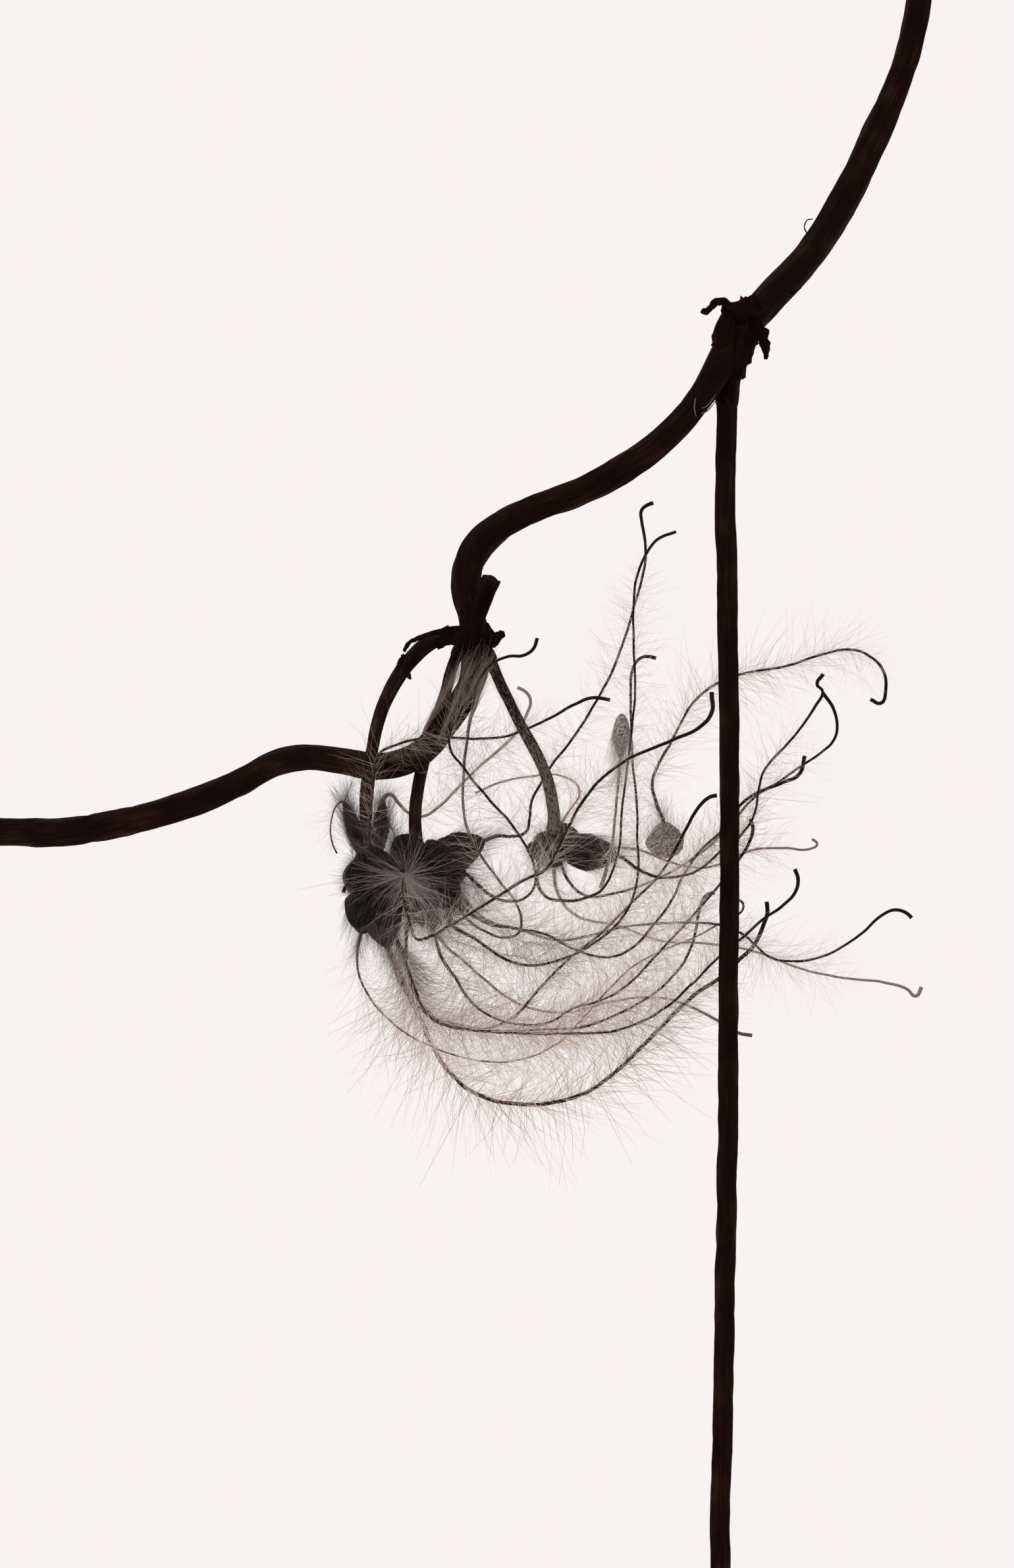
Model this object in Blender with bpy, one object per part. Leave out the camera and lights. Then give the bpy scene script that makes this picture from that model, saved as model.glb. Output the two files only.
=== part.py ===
# Dried clematis seed heads on a cut length of their vine, laid down on a surface.
#
# Route points are in millimetres. X and Y are measured in plan from the fork where the three
# flower stalks leave the vine, and Z is the height above the surface. +Y runs up the vine.

import itertools
import math

import bmesh
import bpy
from mathutils import Matrix, Quaternion, Vector

MM = 0.001

# Driving dimensions, in millimetres.
PLAN_CENTRE = (-1.3, -11.1)
STEM_RIBS = 6
RIB_DEPTH = 0.12
JOINT_GAP = 0.3
ACHENE_TAPER = 0.35
BARE_ACHENE_LENGTH = 3.9
ACHENE_WIDTH = 2.9
ACHENE_THICKNESS = 1.3
SEAT_SHARE = 0.7
STYLE_SUNK = 1.2
STYLE_ROOT_RADIUS = 0.26
STYLE_TIP_RADIUS = 0.16
SOCKET_LIP = 0.08
SOCKET_BEND = 0.6
SOCKET_ROOT_RADIUS = 0.75
STEM_TWIST = 0.1
HAIR_LENGTH = 5.0
HAIR_SPACING = 3.0
HAIR_LEAN = math.radians(64)
HAIR_SHARE_OF_STYLE = 0.62
HAIR_TURN = math.radians(144)
HAIR_CLEARANCE = 0.45
LOWEST_HAIR = 0.4
FEATHERED_SHARE = 0.86

# How a place for a hair is looked for: the tries at each spot, each two fifths of a turn on from
# the last, where along a hair its clearance is measured, the share of it that is its foot, and the
# spacing and cell size of what is noted about the other solids, in millimetres.
HAIR_TRIES = 9
HAIR_TESTS = (0.15, 0.3, 0.45, 0.6, 0.8, 1.0)
HAIR_FOOT = 0.4
FIRST_HAIR = 2
MARK_SPACING = 0.4
MARK_CELL = 2.5

# The vine: x, y, height, radius. It rests on the surface at both cut ends.
VINE = [
    (34.1, 50.0, 0.75, 0.88), (33.6, 46.5, 0.95, 0.9), (32.7, 43.0, 1.5, 0.92), (30.6, 38.0, 2.8, 1.05),
    (28.2, 33.0, 4.6, 1.1), (25.4, 28.6, 7.0, 1.08), (22.3, 25.2, 9.4, 1.12), (19.8, 22.3, 11.5, 1.2),
    (17.6, 18.4, 13.0, 1.12), (14.9, 15.1, 13.8, 1.05), (11.4, 12.4, 14.2, 1.03),
    (8.0, 10.6, 14.3, 1.0),
    (4.5, 9.3, 14.4, 1.0), (1.7, 7.8, 14.6, 1.05), (-0.1, 5.8, 14.8, 1.1), (-0.6, 3.5, 15.0, 1.05),
    (-0.2, 1.3, 15.1, 0.98), (0.1, -0.7, 15.1, 1.1), (-0.1, -3.5, 14.7, 0.96), (-1.1, -5.5, 14.2, 0.95),
    (-2.2, -7.0, 13.6, 0.97), (-3.5, -8.7, 12.8, 0.98), (-5.2, -9.8, 11.9, 0.95),
    (-7.5, -10.2, 10.8, 0.93),
    (-10.0, -9.8, 9.6, 0.92), (-12.7, -9.5, 8.2, 0.9), (-15.2, -10.0, 6.9, 0.92),
    (-18.0, -11.5, 5.3, 0.98),
    (-22.5, -13.3, 3.5, 1.0), (-27.0, -14.5, 2.2, 1.0), (-31.5, -15.2, 1.25, 1.02),
    (-34.5, -15.2, 0.92, 1.02),
    (-37.6, -15.1, 0.84, 1.02),
]
SIDE_SHOOT = [
    (19.15, 16.9, 11.9, 0.76), (19.05, 12.0, 11.5, 0.76), (19.2, 3.0, 10.4, 0.78),
    (19.4, -7.0, 9.3, 0.75),
    (19.4, -17.0, 8.3, 0.72), (19.35, -27.0, 6.9, 0.73), (19.3, -37.0, 5.3, 0.76),
    (19.15, -47.0, 3.6, 0.76),
    (19.0, -57.0, 2.0, 0.75), (18.8, -65.0, 0.95, 0.75), (18.75, -69.0, 0.66, 0.75),
    (18.75, -72.2, 0.62, 0.75),
]

# The upper node, where the shoot leaves: a swollen joint, the shoot's socket and ragged scales.
UPPER_NODE = (19.8, 22.2, 11.6)
UPPER_NODE_SIZE = Vector((1.5, 1.9, 1.45))
SHOOT_SOCKET = [
    (19.7, 21.8, 11.6, 1.1), (19.4, 20.0, 11.8, 1.0), (19.2, 18.4, 11.9, 0.88),
    (19.15, 16.9 + JOINT_GAP, 11.9, 0.82),
]
UPPER_SCALES = {
    "curled_scale": [
        (19.5, 23.9, 12.1, 0.6), (19.1, 24.8, 12.5, 0.34), (18.5, 25.05, 12.8, 0.25),
        (17.95, 24.6, 12.9, 0.22), (17.6, 24.25, 12.9, 0.2), (17.3, 24.4, 12.8, 0.18),
    ],
    "hanging_scale": [
        (20.9, 23.4, 11.9, 0.75), (21.75, 22.6, 12.1, 0.62), (22.15, 21.6, 12.1, 0.42),
        (22.15, 20.6, 11.9, 0.2),
    ],
    "bud": [(20.0, 21.0, 12.0, 0.75), (20.4, 20.0, 12.2, 0.55), (20.55, 19.2, 12.2, 0.28)],
    "shoulder": [
        (19.6, 23.9, 11.6, 0.85), (19.1, 22.8, 11.7, 0.92), (18.9, 21.5, 11.8, 0.85),
        (18.5, 20.6, 11.9, 0.45),
    ],
}

# The lower node, the fork: a swollen joint, a cut leaf stalk and edges of split bark.
LOWER_NODE = (0.1, -0.6, 15.1)
LOWER_NODE_SIZE = Vector((1.35, 1.5, 1.25))
SOCKET_ROOT = (0.1, -0.7, 15.1)
CUT_LEAF_STALK = [
    (-0.1, -0.6, 15.2, 0.6), (0.3, 1.3, 15.9, 0.6), (0.9, 2.9, 16.6, 0.64), (1.35, 4.0, 17.0, 0.7),
]
LOWER_SCALES = {
    "split_bark": [
        (-0.6, 0.0, 15.6, 0.42), (-2.6, 0.0, 16.6, 0.3), (-4.0, -0.4, 16.9, 0.25),
        (-4.9, -0.85, 16.8, 0.22), (-5.3, -1.5, 16.5, 0.18),
    ],
    "torn_edge": [(0.6, -0.4, 15.4, 0.6), (1.6, -0.35, 15.6, 0.4), (2.3, -0.2, 15.7, 0.28)],
}

# The three flower stalks, from the fork to the heads.
STALK_LEFT = [
    (-2.5, -0.4, 15.3, 0.58), (-3.5, -0.9, 15.3, 0.62), (-4.5, -1.8, 15.2, 0.62),
    (-5.6, -3.2, 14.9, 0.56),
    (-6.6, -5.0, 14.3, 0.52), (-7.3, -7.0, 13.4, 0.5), (-7.75, -9.0, 12.8, 0.47),
    (-8.0, -10.4, 12.4, 0.46),
    (-8.2, -12.0, 11.5, 0.44), (-8.25, -13.4, 10.6, 0.44), (-8.15, -14.9, 9.75, 0.44),
    (-7.95, -16.05, 9.15, 0.46),
]
STALK_MIDDLE = [
    (-1.4, -2.0, 13.5, 0.44), (-1.8, -3.1, 12.9, 0.42), (-2.15, -4.5, 12.2, 0.42),
    (-2.6, -5.9, 11.5, 0.43),
    (-3.15, -7.4, 10.8, 0.45), (-3.6, -9.0, 10.5, 0.46), (-4.0, -10.6, 10.6, 0.46),
    (-4.35, -12.3, 10.9, 0.46),
    (-4.5, -14.2, 11.1, 0.46), (-4.4, -15.9, 11.15, 0.5),
]
STALK_RIGHT = [
    (1.35, -2.5, 15.9, 0.46), (2.0, -4.0, 15.9, 0.44), (2.8, -5.6, 15.6, 0.43), (3.5, -7.0, 15.2, 0.44),
    (4.35, -8.5, 14.7, 0.45), (5.1, -10.0, 14.1, 0.46), (5.65, -11.6, 13.5, 0.48),
    (5.95, -13.2, 12.7, 0.5),
    (6.05, -14.2, 12.2, 0.53), (6.0, -15.1, 11.75, 0.58),
]

# Each head: the middle of its receptacle and its three half-widths, then the routes of its styles.
# A route starts at the tip of its achene, which grows from the receptacle.
HEAD_LEFT = (-7.6, -18.75, 7.6)
CORE_LEFT = (1.2, 2.3, 1.1)
STYLES_LEFT = {
    "up_the_stalk": [
        (-7.9, -16.3, 11.5), (-7.95, -14.9, 12.9), (-7.8, -13.4, 13.7), (-7.6, -11.2, 13.9),
        (-7.2, -9.3, 14.0),
        (-6.0, -8.6, 14.2), (-4.0, -8.1, 14.7),
        (-2.1, -8.0, 15.1), (0.0, -8.1, 14.8), (2.5, -7.9, 14.0), (3.9, -7.4, 13.6), (6.0, -6.4, 13.7),
        (7.8, -5.4, 14.1), (9.0, -5.0, 14.5), (10.3, -5.2, 14.7),
    ],
    "behind_the_middle_stalk": [
        (-6.9, -12.7, 7.0), (-6.4, -12.3, 7.1), (-5.8, -12.9, 7.3), (-5.0, -13.7, 7.4),
        (-4.0, -14.0, 7.5),
        (-2.6, -13.2, 7.5), (-1.4, -12.0, 7.5), (0.1, -10.5, 7.5), (1.6, -9.2, 7.5), (3.0, -7.9, 7.6),
        (3.9, -6.4, 7.7), (4.3, -5.2, 7.7), (3.9, -4.5, 7.7), (3.3, -4.2, 7.7),
    ],
    "small_curl": [
        (-9.9, -12.9, 6.6), (-10.4, -13.1, 6.9), (-10.8, -14.2, 7.2), (-10.9, -15.3, 7.4),
        (-10.7, -16.2, 7.3),
        (-10.4, -16.8, 7.1),
    ],
    "broken": [(-9.4, -18.9, 11.6), (-9.75, -19.2, 12.3), (-9.9, -19.7, 12.7)],
    "outer_loop": [
        (-8.6, -22.9, 6.2), (-8.9, -24.6, 5.4), (-8.6, -26.5, 4.6), (-7.4, -28.5, 4.0),
        (-5.6, -30.2, 3.5),
        (-3.5, -31.4, 3.2), (-1.0, -32.3, 3.0), (1.6, -32.7, 2.8), (4.0, -32.4, 2.8), (6.3, -31.3, 2.9),
        (7.8, -29.9, 3.2), (9.3, -28.2, 3.4), (10.8, -26.6, 3.5), (12.3, -25.3, 3.5),
        (14.3, -24.2, 3.3),
        (17.0, -23.1, 3.0), (18.8, -22.1, 2.9), (19.9, -21.6, 2.9), (20.5, -21.0, 2.9),
        (20.4, -20.5, 2.9),
        (19.9, -20.4, 2.9),
    ],
    "bottom_loop": [
        (-7.3, -22.5, 4.6), (-6.3, -24.6, 3.8), (-5.2, -27.0, 3.3), (-4.2, -29.2, 2.8),
        (-3.0, -31.8, 2.0),
        (-1.5, -33.9, 1.5), (0.5, -35.3, 1.2), (3.3, -35.9, 1.0), (6.0, -35.8, 1.0), (8.5, -35.0, 1.1),
        (10.5, -33.7, 1.3), (12.5, -31.8, 1.5), (14.5, -29.8, 1.9), (16.5, -27.8, 2.3),
        (18.8, -26.2, 2.6),
        (20.1, -25.0, 2.8), (21.3, -23.8, 3.2), (22.0, -22.3, 3.6), (22.3, -21.3, 3.8),
        (22.25, -20.5, 3.9),
    ],
    "long_sweep": [
        (-6.2, -22.6, 8.6), (-5.3, -24.7, 8.1), (-4.4, -27.3, 7.2), (-3.3, -29.3, 6.7),
        (-1.0, -30.1, 6.6),
        (2.0, -30.4, 7.0), (5.0, -30.5, 7.0), (7.5, -30.5, 6.8), (10.0, -30.4, 6.4), (12.5, -29.7, 6.1),
        (14.6, -28.5, 5.8), (16.6, -26.7, 5.5), (18.8, -24.5, 5.3), (20.3, -23.3, 5.5),
        (22.0, -21.8, 5.5),
        (23.6, -20.7, 5.5), (24.5, -19.6, 5.6), (24.65, -18.9, 5.6), (24.4, -18.0, 5.7),
    ],
    "low_sweep": [
        (-6.5, -24.0, 6.0), (-6.0, -25.7, 4.2), (-5.2, -27.4, 2.8), (-3.8, -28.9, 2.4),
        (-1.0, -29.9, 3.2),
        (2.0, -30.3, 3.7), (5.5, -30.2, 3.9), (8.3, -30.0, 4.0), (11.0, -29.0, 4.0), (13.5, -27.6, 3.9),
        (15.1, -26.2, 3.8), (16.3, -24.5, 3.6), (16.9, -22.5, 3.2), (17.2, -20.9, 3.1),
        (17.7, -20.0, 3.1),
        (18.3, -19.8, 3.1),
    ],
}

HEAD_MIDDLE = (-4.0, -17.75, 11.0)
CORE_MIDDLE = (1.5, 1.5, 1.2)
STYLES_MIDDLE = {
    "front": [
        (-5.3, -18.55, 15.2), (-5.4, -20.0, 16.2), (-4.8, -22.2, 16.7), (-4.35, -23.3, 16.8),
        (-3.9, -23.3, 16.9),
        (0.4, -20.9, 17.4), (3.6, -18.9, 17.7), (5.5, -17.9, 17.8), (6.25, -16.6, 17.9),
        (7.1, -14.9, 18.0),
        (8.3, -12.7, 18.0), (10.8, -10.2, 17.9), (15.0, -8.2, 17.2), (17.1, -7.2, 16.6),
        (18.0, -6.1, 16.2),
        (18.0, -4.6, 15.9),
    ],
    "plume_front": [
        (-0.6, -18.4, 11.2), (0.1, -19.0, 11.5), (1.3, -20.0, 12.0), (2.5, -20.4, 12.8),
        (3.8, -20.2, 13.5), (4.6, -19.2, 14.1),
        (4.6, -17.9, 14.5), (4.0, -16.4, 14.8), (3.0, -14.8, 15.0), (1.0, -12.5, 15.3),
        (-0.8, -10.3, 15.7),
        (-1.9, -8.4, 16.2), (-1.1, -6.3, 16.5), (0.1, -4.1, 17.0), (1.3, -2.5, 17.5), (2.5, -1.9, 17.7),
        (3.8, -1.8, 17.6), (4.5, -1.3, 17.5), (4.8, -0.5, 17.4),
    ],
    "plume_back": [
        (-1.4, -19.6, 9.2), (-1.2, -20.7, 9.4), (-0.5, -21.8, 9.8), (0.8, -22.7, 10.2),
        (2.3, -23.2, 10.7), (3.4, -22.8, 11.2),
        (3.6, -21.8, 11.6), (3.2, -20.6, 11.9), (2.1, -19.1, 12.2), (0.6, -17.1, 12.4),
        (-0.4, -15.3, 12.6),
        (-0.8, -13.5, 12.8), (-0.8, -11.0, 13.2), (-0.6, -8.8, 13.6), (-0.3, -6.8, 14.2),
        (0.3, -4.9, 15.7),
        (0.6, -3.8, 16.3),
    ],
    "tall_behind_stalk": [
        (0.8, -15.8, 9.6), (1.7, -15.5, 9.5), (2.9, -15.5, 9.5), (3.9, -15.2, 9.6),
        (4.2, -14.2, 10.0), (4.4, -12.8, 10.6),
        (5.1, -11.4, 11.2), (5.9, -10.1, 11.8), (7.3, -8.3, 12.6), (9.0, -5.7, 13.2),
        (10.4, -3.1, 13.4),
        (11.4, -0.5, 13.5), (12.1, 1.8, 13.6), (12.6, 3.5, 13.5), (13.0, 5.5, 13.3), (12.95, 7.0, 13.0),
        (12.7, 8.5, 12.7), (12.7, 9.2, 12.6), (13.1, 9.6, 12.5), (13.6, 9.8, 12.5),
    ],
    "tall_curve": [
        (-2.2, -20.7, 7.6), (-1.7, -22.2, 7.4), (0.1, -23.3, 7.3), (2.3, -24.8, 7.2),
        (4.0, -25.3, 7.2), (6.5, -24.9, 7.3),
        (9.0, -23.7, 7.6), (11.0, -22.0, 8.2), (12.0, -20.3, 9.2), (12.45, -18.0, 10.3),
        (12.4, -15.5, 11.4),
        (12.3, -12.5, 12.3), (12.0, -9.5, 13.1), (11.9, -7.0, 13.6), (11.9, -4.5, 13.9),
        (12.0, -2.9, 14.0),
        (12.6, -2.0, 14.0), (13.2, -1.85, 14.0), (13.8, -2.0, 14.0),
    ],
    "middle_sweep": [
        (-4.7, -20.9, 7.4), (-5.1, -22.6, 6.6), (-5.2, -24.3, 6.1), (-4.9, -26.5, 5.6),
        (-4.0, -28.3, 5.3), (-2.5, -29.6, 5.1),
        (-0.8, -30.2, 5.0), (1.0, -30.1, 5.0), (2.8, -29.4, 5.1), (4.3, -27.9, 5.4), (5.8, -26.2, 5.8),
        (7.6, -24.5, 6.4), (9.5, -23.0, 7.0), (12.0, -20.5, 7.8), (14.0, -18.5, 9.0),
        (15.4, -16.3, 9.9),
        (16.3, -14.5, 10.3), (17.1, -13.2, 10.5), (17.9, -12.5, 10.5), (18.4, -12.4, 10.4),
    ],
    "inner_sweep": [
        (-3.5, -21.2, 9.8), (-3.0, -23.0, 9.3), (-2.4, -24.8, 8.7), (-1.4, -26.3, 7.8),
        (-0.3, -28.0, 6.9), (1.3, -29.2, 6.3),
        (3.3, -29.8, 6.0), (5.5, -29.7, 5.8), (7.5, -28.6, 5.6), (9.3, -28.1, 5.4), (11.3, -27.1, 5.2),
        (14.0, -24.4, 5.0), (16.3, -21.9, 5.0), (18.8, -19.0, 5.0), (20.1, -17.3, 5.2),
        (20.9, -16.0, 5.6),
        (21.2, -15.0, 5.8), (21.0, -14.2, 6.0),
    ],
    "under_the_shoot": [
        (-1.5, -20.0, 7.7), (-0.6, -21.1, 8.2), (1.0, -22.1, 8.7), (3.3, -22.5, 8.8),
        (5.5, -23.0, 8.6), (7.5, -24.0, 8.3),
        (9.3, -24.6, 8.0), (10.8, -24.6, 7.6), (12.1, -23.9, 7.3), (13.6, -22.3, 6.9),
        (15.0, -20.4, 6.5),
        (16.0, -18.3, 6.4), (17.3, -16.5, 6.2), (18.8, -15.1, 6.0), (20.1, -13.3, 6.0),
        (21.5, -12.2, 6.3),
        (23.5, -11.4, 6.8), (24.7, -10.8, 7.2), (25.1, -9.4, 7.6),
    ],
    "right_wave": [
        (-1.5, -19.0, 7.0), (-0.6, -20.5, 6.5), (1.0, -21.9, 6.3), (3.5, -22.6, 6.0),
        (6.4, -23.4, 5.7), (9.0, -23.0, 5.2),
        (11.5, -22.4, 4.8), (14.8, -22.1, 4.4), (18.3, -22.2, 4.3), (20.3, -22.9, 4.3),
        (21.5, -23.9, 4.6),
        (22.5, -24.7, 4.7), (24.0, -25.0, 4.8), (26.3, -24.7, 4.9), (28.0, -23.9, 5.0),
        (29.6, -22.8, 5.2),
        (31.0, -21.5, 5.4), (32.0, -21.1, 5.5), (32.8, -21.3, 5.5), (33.3, -21.7, 5.5),
    ],
    "lowest": [
        (-3.5, -20.0, 6.6), (-3.1, -22.0, 5.4), (-2.4, -23.6, 4.6), (-0.8, -25.0, 4.0),
        (1.0, -26.6, 3.6), (2.4, -27.7, 3.0),
        (4.3, -28.6, 2.2), (7.0, -28.9, 1.6), (10.5, -28.1, 1.1), (14.0, -27.8, 0.7),
        (16.0, -28.3, 0.6),
        (18.8, -29.7, 0.6), (20.1, -30.5, 0.7), (21.2, -30.7, 0.8),
    ],
}

HEAD_RIGHT = (5.8, -16.3, 11.2)
CORE_RIGHT = (1.05, 1.05, 0.95)
STYLES_RIGHT = {
    "right_curl": [
        (10.9, -17.0, 12.0), (12.3, -17.9, 11.6), (14.0, -18.6, 10.4), (15.8, -18.5, 9.0),
        (17.3, -17.9, 7.6),
        (18.8, -16.6, 6.8), (20.3, -15.4, 6.9), (21.3, -13.8, 7.4), (21.6, -12.0, 8.2),
        (22.1, -10.4, 9.0),
        (23.3, -9.0, 9.8), (24.7, -7.4, 10.4), (25.9, -5.6, 10.8), (26.45, -4.5, 11.0),
        (26.0, -4.0, 11.1),
        (26.5, -3.2, 11.2),
    ],
    "straight_low": [
        (9.8, -16.4, 9.2), (12.3, -16.5, 7.8), (14.5, -17.3, 5.9), (16.8, -17.9, 4.4),
        (18.8, -17.6, 3.7),
        (21.0, -16.6, 3.5), (23.5, -16.4, 3.6), (25.8, -16.4, 3.8), (26.1, -16.1, 3.9),
        (25.7, -15.7, 4.0),
    ],
    "right_loop": [
        (6.5, -17.2, 6.9), (7.2, -18.9, 6.6), (8.5, -20.0, 6.5), (10.4, -19.9, 6.3), (13.3, -19.0, 5.6),
        (16.5, -17.3, 4.8), (18.8, -15.4, 4.3),
        (21.5, -12.4, 4.8), (23.0, -11.5, 5.2), (24.8, -10.2, 5.8), (26.3, -9.2, 6.2),
        (27.2, -8.4, 6.5),
        (27.6, -7.3, 6.8), (27.3, -5.8, 7.0), (26.5, -4.6, 7.1),
    ],
    "tall_front": [
        (5.0, -17.4, 7.2), (4.8, -18.9, 7.6), (5.4, -20.0, 8.9), (6.9, -20.4, 10.6), (8.3, -20.2, 11.9),
        (9.6, -19.6, 13.0), (10.5, -18.1, 14.0),
        (11.0, -16.2, 14.7), (11.2, -13.5, 15.1), (11.6, -10.5, 15.4), (11.9, -7.8, 15.5),
        (12.2, -4.5, 15.5),
        (12.1, -1.0, 15.3), (12.1, 2.0, 15.1), (12.3, 4.0, 14.8), (12.9, 5.6, 14.4), (13.9, 7.0, 13.9),
        (15.3, 7.6, 13.6),
    ],
    "far_right": [
        (6.0, -17.3, 7.0), (6.3, -19.6, 5.8), (7.3, -21.2, 4.8), (8.7, -21.9, 4.0), (10.5, -22.2, 3.2),
        (14.5, -23.5, 1.9), (18.0, -23.7, 1.5),
        (21.5, -24.3, 1.4), (24.0, -25.3, 1.4), (26.0, -25.9, 1.3), (29.0, -26.4, 1.2),
        (31.5, -26.7, 1.1),
        (33.0, -27.2, 1.0), (33.6, -27.7, 1.0), (34.1, -27.0, 1.1),
    ],
    "crossing_back": [
        (6.1, -15.3, 7.0), (7.2, -13.6, 6.0), (8.0, -12.0, 5.3), (6.5, -10.9, 4.4), (4.0, -11.0, 4.0),
        (2.0, -11.4, 3.8), (0.1, -12.2, 3.7),
    ],
}
# Two achenes of the right head have come away and hang caught on its styles: where each one's
# base is, and the route of its style.
CAUGHT_LOW_STYLE = [
    (14.4, -14.4, 7.4), (13.8, -12.9, 7.8), (13.55, -11.6, 7.8), (14.05, -10.0, 7.6), (15.0, -8.3, 7.3),
    (15.7, -6.9, 7.1), (16.6, -5.4, 7.0), (18.3, -4.0, 6.8), (20.3, -3.2, 6.8), (24.0, -2.5, 7.2),
    (26.3, -1.7, 7.6),
    (28.8, -1.35, 8.0), (30.3, -2.0, 8.3), (31.0, -2.8, 8.4), (31.25, -4.5, 8.2), (30.9, -5.4, 8.1),
    (30.1, -5.1, 8.0),
]
CAUGHT_HIGH_STYLE = [
    (11.1, -9.6, 14.9), (10.9, -11.6, 14.6), (10.7, -14.0, 14.2), (10.3, -17.0, 13.0),
    (9.6, -19.4, 11.6),
]
CAUGHT = {
    "caught_low": ((14.65, -17.2, 6.3), CAUGHT_LOW_STYLE),
    "caught_high": ((11.2, -6.2, 15.0), CAUGHT_HIGH_STYLE),
}

# Achenes of each head that have lost their styles, by the direction that they lean in.
BARE_LEFT = [(-0.5, 0.05, -0.86), (-0.3, -0.75, 0.6), (-0.2, -0.4, -0.9), (-0.5, 0.1, 1.0)]
BARE_MIDDLE = [
    (0.65, -0.75, 0.6), (0.8, 0.3, -0.7), (0.5, 0.3, 1.0), (-0.4, 0.45, 0.8), (-0.3, -0.8, 0.55),
    (-0.8, -0.3, 0.4),
]
BARE_RIGHT = [(0.5, 0.2, -0.9)]

# Achenes that lie on their narrow edge.
ON_EDGE = ("behind_the_middle_stalk", "small_curl", "inner_sweep", "straight_low", "caught_high")

HEADS = {
    "seed_head_left": (HEAD_LEFT, CORE_LEFT, STYLES_LEFT, BARE_LEFT, {}),
    "seed_head_middle": (HEAD_MIDDLE, CORE_MIDDLE, STYLES_MIDDLE, BARE_MIDDLE, {}),
    "seed_head_right": (HEAD_RIGHT, CORE_RIGHT, STYLES_RIGHT, BARE_RIGHT, CAUGHT),
}


def place(x, y, z):
    """Plan millimetres to metres, about the middle of the sprig."""
    return Vector((x - PLAN_CENTRE[0], y - PLAN_CENTRE[1], z)) * MM


def material(name, colour, roughness):
    """A plain material with the part's own colour."""
    made = bpy.data.materials.new(name)
    made.use_nodes = True
    shader = made.node_tree.nodes["Principled BSDF"]
    shader.inputs["Base Color"].default_value = (*colour, 1.0)
    shader.inputs["Roughness"].default_value = roughness
    shader.inputs["Metallic"].default_value = 0.0
    return made


def new_collection(name):
    """A collection under the scene."""
    made = bpy.data.collections.new(name)
    bpy.context.scene.collection.children.link(made)
    return made


def ribbed_profile():
    """The stem's cross-section: a circle of unit radius (1 mm) with grooves between its ribs."""
    curve = bpy.data.curves.new("stem_profile", "CURVE")
    curve.dimensions = "2D"
    spline = curve.splines.new("POLY")
    spline.points.add(2 * STEM_RIBS - 1)
    spline.use_cyclic_u = True
    for index, point in enumerate(spline.points):
        angle = math.pi * index / STEM_RIBS
        reach = MM * (1.0 - RIB_DEPTH * (index % 2))
        point.co = (reach * math.cos(angle), reach * math.sin(angle), 0.0, 1.0)
    return bpy.data.objects.new("stem_profile", curve)


def tube(name, route, radii, group, sides=0, steps=2, profile=None, twist=0.0):
    """A closed tube along a smooth route; the radii are in millimetres."""
    curve = bpy.data.curves.new(name, "CURVE")
    curve.dimensions = "3D"
    curve.resolution_u = steps
    curve.use_fill_caps = True
    if profile:
        curve.bevel_mode = "OBJECT"
        curve.bevel_object = profile
    else:
        curve.bevel_depth = MM
        curve.bevel_resolution = sides
    spline = curve.splines.new("BEZIER")
    spline.bezier_points.add(len(route) - 1)
    for index, point in enumerate(spline.bezier_points):
        point.co = route[index]
        point.radius = radii[index]
        point.tilt = twist * index
        point.handle_left_type = "AUTO"
        point.handle_right_type = "AUTO"
    wire = bpy.data.objects.new(name, curve)
    bpy.context.scene.collection.objects.link(wire)
    evaluated = wire.evaluated_get(bpy.context.evaluated_depsgraph_get())
    mesh = bpy.data.meshes.new_from_object(evaluated)
    bpy.data.objects.remove(wire)
    shell = bmesh.new()
    shell.from_mesh(mesh)
    bmesh.ops.remove_doubles(shell, verts=shell.verts, dist=0.001 * MM)
    bmesh.ops.recalc_face_normals(shell, faces=shell.faces)
    shell.to_mesh(mesh)
    shell.free()
    made = bpy.data.objects.new(name, mesh)
    group.objects.link(made)
    return made


def stem(name, rows, group, **settings):
    """A tube from rows of x, y, height and radius."""
    route = [place(*row[:3]) for row in rows]
    return tube(name, route, [row[3] for row in rows], group, **settings)


def ball(name, centre, size, group):
    """An ellipsoid with its middle at centre; size holds its three half-widths in metres."""
    shell = bmesh.new()
    bmesh.ops.create_uvsphere(shell, u_segments=8, v_segments=6, radius=1.0)
    bmesh.ops.scale(shell, vec=size, verts=shell.verts)
    bmesh.ops.translate(shell, vec=centre, verts=shell.verts)
    mesh = bpy.data.meshes.new(name)
    shell.to_mesh(mesh)
    shell.free()
    made = bpy.data.objects.new(name, mesh)
    group.objects.link(made)
    return made


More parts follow.
